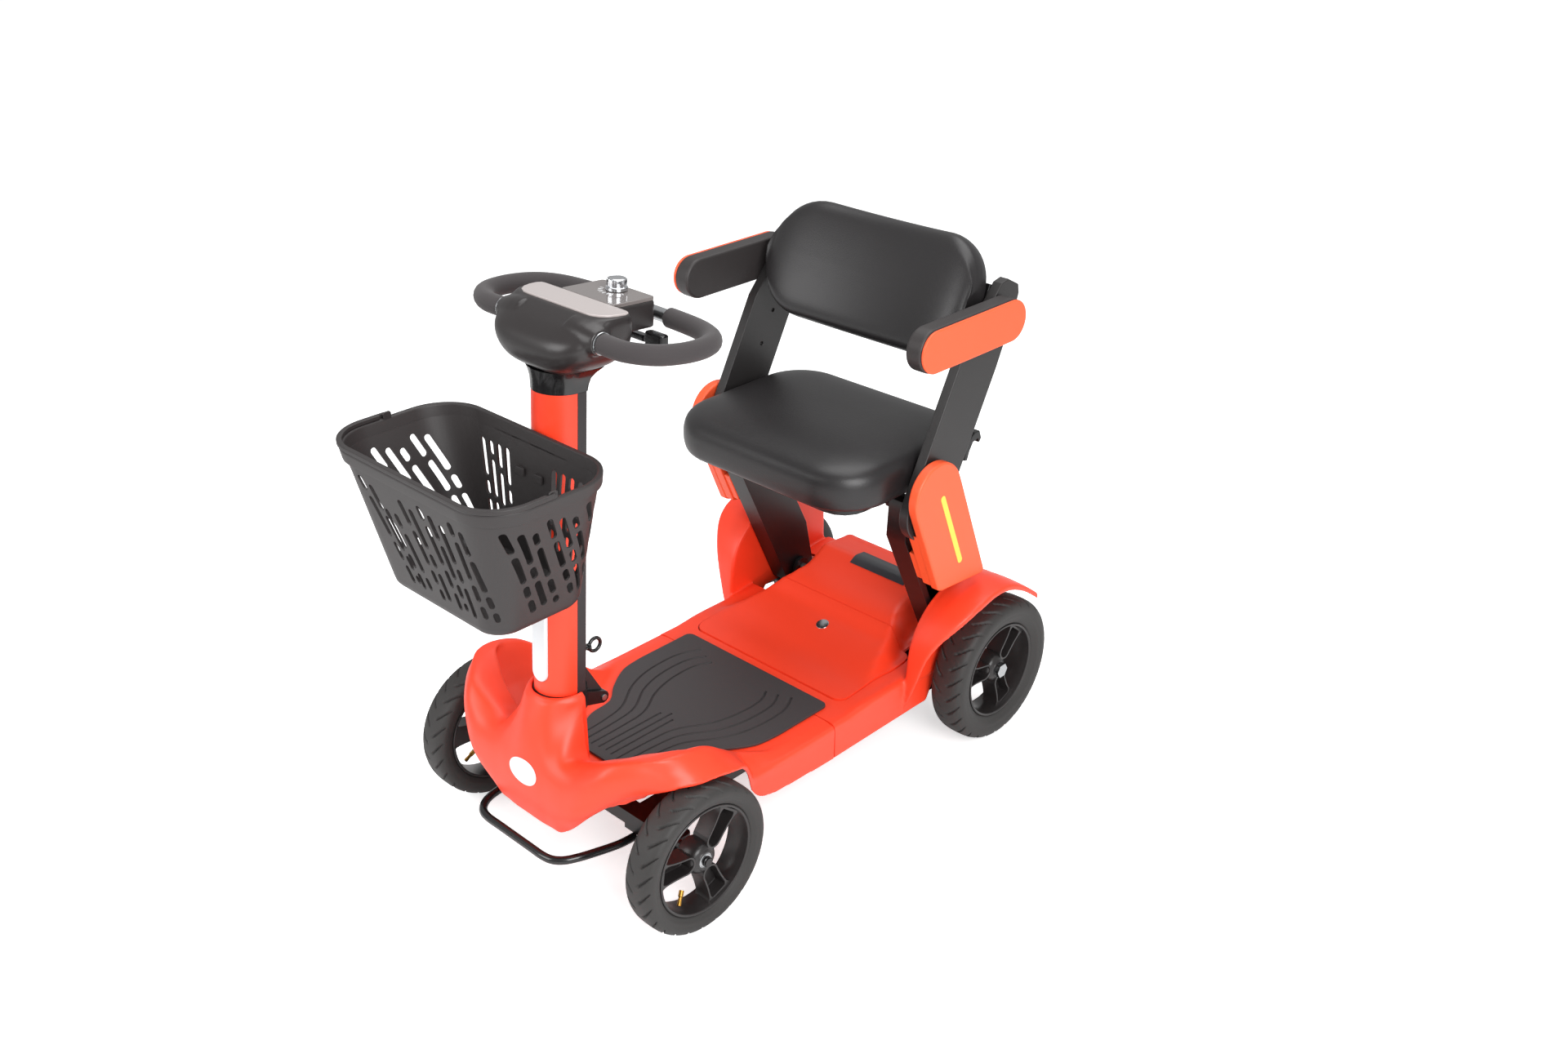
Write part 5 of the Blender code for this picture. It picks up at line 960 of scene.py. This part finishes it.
def rear_row(y):
    hem = read(((0.205, 0.085), (0.235, 0.135)), y)
    crown = [(x, y, deck_height(x, y)) for x in mm((0, 30, 60, 85, 95, 105, 115, 125, 135, 145, 155, 168, 178))]
    edge = deck_height(0.188, y)
    return mirrored(crown + [(0.1835, y, edge - 0.0015), (0.187, y, edge - 0.005), (0.188, y, edge - 0.012),
                             (0.188, y, (edge - 0.012 + hem) / 2), (0.188, y, hem)])


FENDER_LINE = mm(((149, 118), (152, 150), (158, 200), (172, 232), (195, 256), (225, 272), (262, 280),
                  (300, 279), (340, 262), (380, 233)))
FENDER_REACH = mm(((149, 194), (152, 206), (158, 222), (172, 238), (200, 258), (225, 262), (380, 262)))


def fender_row(y, z):
    inner, reach = 0.1865, read(FENDER_REACH, y)
    span = reach - inner
    return [(inner, y, min(0.132, z - 0.026)), (inner, y, z - 0.012), (inner + 0.1 * span, y, z - 0.002),
            (inner + 0.35 * span, y, z), (inner + 0.6 * span, y, z), (reach - 0.004, y, z - 0.002),
            (reach - 0.0006, y, z - 0.006), (reach - 0.0004, y, z - 0.012)]


rows = [rear_row(y) for y in mm((-18, 10, 30, 50, 70, 90, 110, 130, 150, 165, 180, 195, 205, 212, 220, 228, 235, 248,
                                 262, 275, 285, 300, 315, 330, 345, 360, 375, 388))]
deck_sheet = walled("deck_sheet", rows, 2, 2)
mudguard = walled("mudguard", [fender_row(y, z) for y, z in FENDER_LINE], 6, 4)
tail = plate("tail", [(x, z) for x, y, z in rows[-1]], "y", 0.384, 0.388)
rear = moulded_from("rear_shell_moulding", [deck_sheet, mudguard, pair(mudguard, "mudguard_right"), tail], 0.0025, 9)
trim(rear, (0, 0.389, 0), (0, 1, 0))
trim(rear, (0, -0.0047, 0), (0, -1, 0))
lid_body = twin(rear, "battery_lid_moulding")
holes = [plate("lid_hole", round_rect(-0.1586, 0.1586, 0.0404, 0.2056, 0.02, 10), "z", 0.125, 0.3)]
# Dark grey liners close the leg wells from below; their dark colour is partly painted shade, standing in for the shadow
# down in the wells.
shade_liners = []
for side in (1, -1):
    x0, x1 = sorted((side * 0.1375, side * 0.186))
    holes.append(plate("leg_well", round_rect(x0, x1, 0.2, 0.327, 0.006, 5), "z", 0.1, 0.2))
    x0, x1 = sorted((side * 0.134, side * 0.1865))
    shade_liners.append(plate("well_shade_liner", round_rect(x0, x1, 0.196, 0.331, 0.006, 5), "z", 0.0985, 0.101))
cut(rear, holes, "MANIFOLD")
rear_shell = finish_piece(rear, RED_ABS, "chassis", "rear_shell", smooth=50)
keep = plate("lid_shape", round_rect(-0.1566, 0.1566, 0.0424, 0.2036, 0.018, 10), "z", 0.132, 0.3)
cut(lid_body, [keep], "MANIFOLD", "INTERSECT")
LID_STEP = 0.0016
finish_piece(carried(lid_body, Matrix.Translation((0, 0, LID_STEP))), RED_ABS, "battery_cover", "battery_cover",
             smooth=50)
# The well liners: real closing plates, dark grey partly as painted shade for the wells.
finish_piece(join("leg_well_shade_liners", shade_liners), GREY_PP, "chassis")
finish_piece(from_node("cover_lock", "cover_lock_turned", 0.0005), CHROME, "cover_lock", "cover_lock")

BUMPER = mm(((-109, -322, 82), (-108.5, -350, 84), (-102, -388, 88), (-95.5, -412, 90), (-87, -427, 90),
             (-75, -436.5, 90), (-58, -440, 90), (-30, -440, 90)))
bumper_line = curve_through(BUMPER + tuple((-x, y, z) for x, y, z in reversed(BUMPER)), 10)
finish_piece(bar("front_bumper_tube", bumper_line, 0.0058, resolution=6), GLOSS_ABS, "chassis", "bumper")


# Foot mat, with its grooves pressed in

MAT_EDGE = mm(((-58, -292), (-70, -262), (-86, -230), (-92, -190), (-118, -160), (-142, -120), (-148, -80)))
mat_line = flat_curve(MAT_EDGE, 5) + arc((-0.138, 0.014), 0.01, 180, 90, 8)
mat_line += [(-x, y) for x, y in reversed(mat_line)]
mat = plate("foot_mat", mat_line, "z", DECK + 0.0003, DECK + 0.004, 0.0008, 2)
STRAIGHT = mm((((0, -276), (0, -150)), ((13, -278), (13, -160)), ((-13, -278), (-13, -160))))
WAVES = mm((
    ((27, -280), (28, -220), (33, -175), (58, -130), (70, -85), (70, -40), (58, -14)),
    ((41, -280), (43, -225), (50, -180), (78, -135), (91, -90), (91, -38), (77, -8)),
    ((55, -274), (58, -230), (67, -188), (97, -142), (112, -95), (113, -36), (97, 0)),
))
paths = [list(line) for line in STRAIGHT]
paths += [flat_curve([(side * x, y) for x, y in wave], 6) for wave in WAVES for side in (1, -1)]
cut(mat, [bar("groove", [(x, y, DECK + 0.0033) for x, y in path], 0.0021, resolution=2) for path in paths])
finish_piece(mat, MAT_RUBBER, "chassis", "floor_mat")


# Seat

def cushion_ring(inset, z, radius):
    return [(x, y, z) for x, y in round_rect(-0.188 + inset, 0.188 - inset, 0.016 + inset, 0.316 - inset, radius, 14)]


LAYERS = mm(((16, 456, 66), (7, 459, 74), (2.5, 465, 79), (0, 476, 82), (0, 488, 82), (1.5, 499, 81),
             (6.5, 509, 76), (16, 516.5, 68), (30, 521, 56), (52, 524.5, 40), (80, 526.2, 24),
             (110, 526.9, 14)))
cushion = loft("seat_cushion_foam", [cushion_ring(*layer) for layer in curve_through(LAYERS, 3)])
finish_piece(cushion, PU_SKIN, "seat", "seat_cushion", smooth=60)

PAD_HALF, PAD_MID, PAD_THICK, PAD_CORNER, PAD_HALF_H = 0.1915, 0.295, 0.052, 0.078, 0.089


def pad_section(x):
    """Closed section of the backrest pad at x: it bows backwards and thins towards the middle."""
    bow = 1 - (x / PAD_HALF) ** 2
    thick = PAD_THICK * (1 - 0.3 * bow)
    back = -0.0722 + 0.03024 * bow + thick
    into = max(abs(x) - (PAD_HALF - PAD_CORNER), 0.0)
    tall = PAD_HALF_H - PAD_CORNER + math.sqrt(max(PAD_CORNER ** 2 - into ** 2, 0.0))
    end = math.sqrt(max(1 - (into / PAD_CORNER) ** 2, 0.16))
    face = back - thick * (0.45 + 0.55 * end)
    edge = min(0.02, tall * 0.8)
    section = flat_curve(((face - 0.003 * end, 0.0), (face - 0.0022 * end, tall * 0.35), (face + 0.0004, tall * 0.7),
                          (face + edge * 0.22, tall - edge * 0.55), (face + edge * 0.55, tall - edge * 0.16),
                          (face + edge, tall), (back - edge * 0.55, tall), (back - 0.001, tall - edge * 0.15),
                          (back, tall - edge * 0.5)), 4)
    section += [(v, -w) for v, w in reversed(section[1:])]
    return [(x, v, PAD_MID + w) for v, w in section]


pad = loft("backrest_pad_foam", [pad_section(math.sin(math.pi / 2 * k / 22) * PAD_HALF) for k in range(-22, 23)])
finish_piece(carried(pad, BACK), PU_SKIN, "back", "backrest_pad", smooth=60)


UPRIGHT_TOP = mm(((44, 225), (40, 300), (34, 335), (26, 345), (-2, 345), (-14, 335), (-44, 215)))
COVER_FOOT = mm(((-40, 166), (-34, 160), (50, 116), (57, 118), (60, 210), (63, 300)))
COVER_BLOCK = mm(((-36, 172), (0, 156), (2, 190), (-18, 222), (-36, 225)))
COVER_FLANGE = mm(((-38.5, 168), (-30, 162), (-24, 255), (-37.5, 272)))
ARM_Z, ARM_FRONT, ARM_REAR, ARM_HALF = 0.69, 0.098, 0.326, 0.031


def arm_line(radius):
    """Round-ended outline of the armrest."""
    return pill((ARM_FRONT + ARM_HALF, ARM_Z), (ARM_REAR - ARM_HALF, ARM_Z), radius, 22)


for side, hand in SIDES:
    upright = slab(f"seat_upright_{hand}", arc((0, 0), 0.044, 180, 360, 28) + list(UPRIGHT_TOP), side, 0.192, 0.208)
    bores = [slab("bore", hole(0, 0, 0.0063), side, 0.182, 0.218),
             slab("bore", hole(-0.0118, 0.2859, 0.0043, 20), side, 0.182, 0.218)]
    bores += [slab("bore", hole(0.004, w, 0.0032, 20), side, 0.188, 0.196) for w in (0.15, 0.205)]
    cut(upright, bores)
    round_over(upright, 0.0018, 3, 40)
    finish_piece(carried(upright, BACK), UPRIGHT_ENAMEL, "back", f"upright_{hand}")

    name = f"leg_cover_{hand}"
    cover_line = list(COVER_FOOT) + arc((0.013, 0.313), 0.05, 0, 180, 30)
    shell = slab(name + "_face", cover_line, side, 0.2115, 0.228, 0.0075, 6)
    block = slab(name + "_block", COVER_BLOCK, side, 0.1843, 0.214, 0.002)
    flange = slab(name + "_flange", COVER_FLANGE, side, 0.1965, 0.2145, 0.002)
    finish_piece(carried(join(name + "_moulding", [shell, block, flange]), LEG), ORANGE_ABS, "legs", name)

    bead_line = pill((0.1715, 0.456), (0.218, 0.341), 0.0047, 10)
    finish_piece(slab(f"reflector_{hand}", bead_line, side, 0.2278, 0.2284, 0.0002, 2), REFLECTOR, "legs")

    name = f"armrest_{hand}"
    arm = slab(name + "_body", arm_line(ARM_HALF), side, 0.2095, 0.2357, 0.0045, 5)
    peg = turned("peg", mm(((0, 193), (4, 193), (4, 211.5), (0, 211.5))), "x", (0, 0.286, ARM_Z), 24)
    if side < 0:
        peg.data.transform(ACROSS)
        peg.data.flip_normals()
    finish_piece(join(name + "_moulding", [arm, peg]), GREY_PP, name, name)
    cap = slab(name + "_cap", arm_line(ARM_HALF - 0.001), side, 0.236, 0.2405, 0.0018, 4)
    finish_piece(cap, ORANGE_ABS, name, f"armrest_cap_{hand}")


# Blank films that lie on the shells

def film(name, target, outline, lift, way, wall):
    """A film laid on a shell: its outline is dropped along a direction onto the surface."""
    tree = BVHTree.FromPolygons([v.co for v in target.data.vertices], [tuple(p.vertices) for p in target.data.polygons])
    way, shift = Vector(way), Vector((0, MIDDLE, 0))
    rows = []
    for row in outline:
        hits = [tree.ray_cast(Vector(point) + shift - way * 0.2, way, 0.5) for point in row]
        rows.append([place - shift + normal * lift for place, normal, index, distance in hits])
    obj = skin(name, rows)
    modify(obj, "SOLIDIFY", thickness=wall, offset=1)
    return obj


def oval_rows(middle, half, tall, count=24):
    """Rows of points that fill an upright oval."""
    rows = []
    for i in range(count + 1):
        v = -math.cos(math.pi * i / count)
        reach = half * math.sqrt(max(1 - v * v, 0.0))
        rows.append([Vector(middle) + Vector((reach * (2 * k / count - 1), 0, tall * v)) for k in range(count + 1)])
    return rows


patch = [[(0.0245 + 0.056 * u / 12, 0.289 + 0.017 * v / 6, 0.24) for u in range(-12, 13)] for v in range(-6, 7)]
label = film("blank_label", rear_shell, patch, 0.0003, (0, 0, -1), 0.0004)
finish_piece(label, DARK_FILM, "chassis")
oval = oval_rows((0.008, -0.4, 0.1925), 0.0275, 0.018)
finish_piece(film("blank_sticker", front_shell, oval, 0.0002, (0, 1, 0), 0.0003), PALE_FILM, "chassis")


# Floor, light and camera

deselect()
bpy.ops.mesh.primitive_plane_add(size=30)
ground = named("studio_floor")
white = bpy.data.materials.new("white_paper_floor")
white.use_nodes = True
tree = white.node_tree
paper = tree.nodes["Principled BSDF"].inputs
for socket, value in (("Base Color", linear("#FFFFFF")), ("Roughness", 0.8), ("Specular IOR Level", 0.2),
                      ("Emission Color", linear("#FFFFFF"))):
    paper[socket].default_value = value
PAPER_GLOW = 0.52    # lifts the paper to white for the camera alone, so its shadow stays
glow = add(tree, "Math", {1: PAPER_GLOW}, {0: add(tree, "LightPath").outputs["Is Camera Ray"]}, operation="MULTIPLY")
tree.links.new(glow.outputs[0], paper["Emission Strength"])
ground.data.materials.append(white)

world = bpy.data.worlds.new("studio")
bpy.context.scene.world = world
world.use_nodes = True
tree = world.node_tree
rays = add(tree, "LightPath")
seen = add(tree, "Math", None, {0: rays.outputs["Is Camera Ray"], 1: rays.outputs["Is Transmission Ray"]},
           operation="MAXIMUM")
power = add(tree, "MapRange", {"To Min": 0.5, "To Max": 1.0}, {"Value": seen.outputs[0]})
tree.nodes["Background"].inputs["Color"].default_value = linear("#FFFFFF")
tree.links.new(power.outputs[0], tree.nodes["Background"].inputs["Strength"])

for name, place, aim, size, energy in (("key_softbox", (2.3, -0.9, 1.7), (0, 0, 0.35), 1.5, 62),
                                       ("front_softbox", (-0.9, -2.5, 1.7), (0, 0, 0.35), 1.5, 34),
                                       ("top_softbox", (0.0, 0.6, 2.9), (0, 0, 0.3), 2.2, 46)):
    lamp = bpy.data.lights.new(name, "AREA")
    lamp.size = size
    lamp.energy = energy
    holder = bpy.data.objects.new(name, lamp)
    holder.matrix_world = (Matrix.Translation(place)
                           @ (Vector(place) - Vector(aim)).to_track_quat("Z", "Y").to_matrix().to_4x4())
    link(holder)

camera = bpy.data.cameras.new("photo_camera")
camera.sensor_width = 36
camera.lens = 36.05
camera.clip_start, camera.clip_end = 0.05, 60
eye_point = bpy.data.objects.new("photo_camera", camera)
link(eye_point)
turn, tilt, roll = math.radians(43.899), math.radians(27.077), math.radians(-0.209)
backward = Vector((math.sin(turn) * math.cos(tilt), -math.cos(turn) * math.cos(tilt), math.sin(tilt)))
eye_point.matrix_world = (Matrix.Translation((1.43837, -1.40891 + MIDDLE, 1.43126))
                          @ backward.to_track_quat("Z", "Y").to_matrix().to_4x4() @ Matrix.Rotation(roll, 4, "Z"))
bpy.context.scene.camera = eye_point
bpy.context.scene.view_settings.view_transform = "Standard"
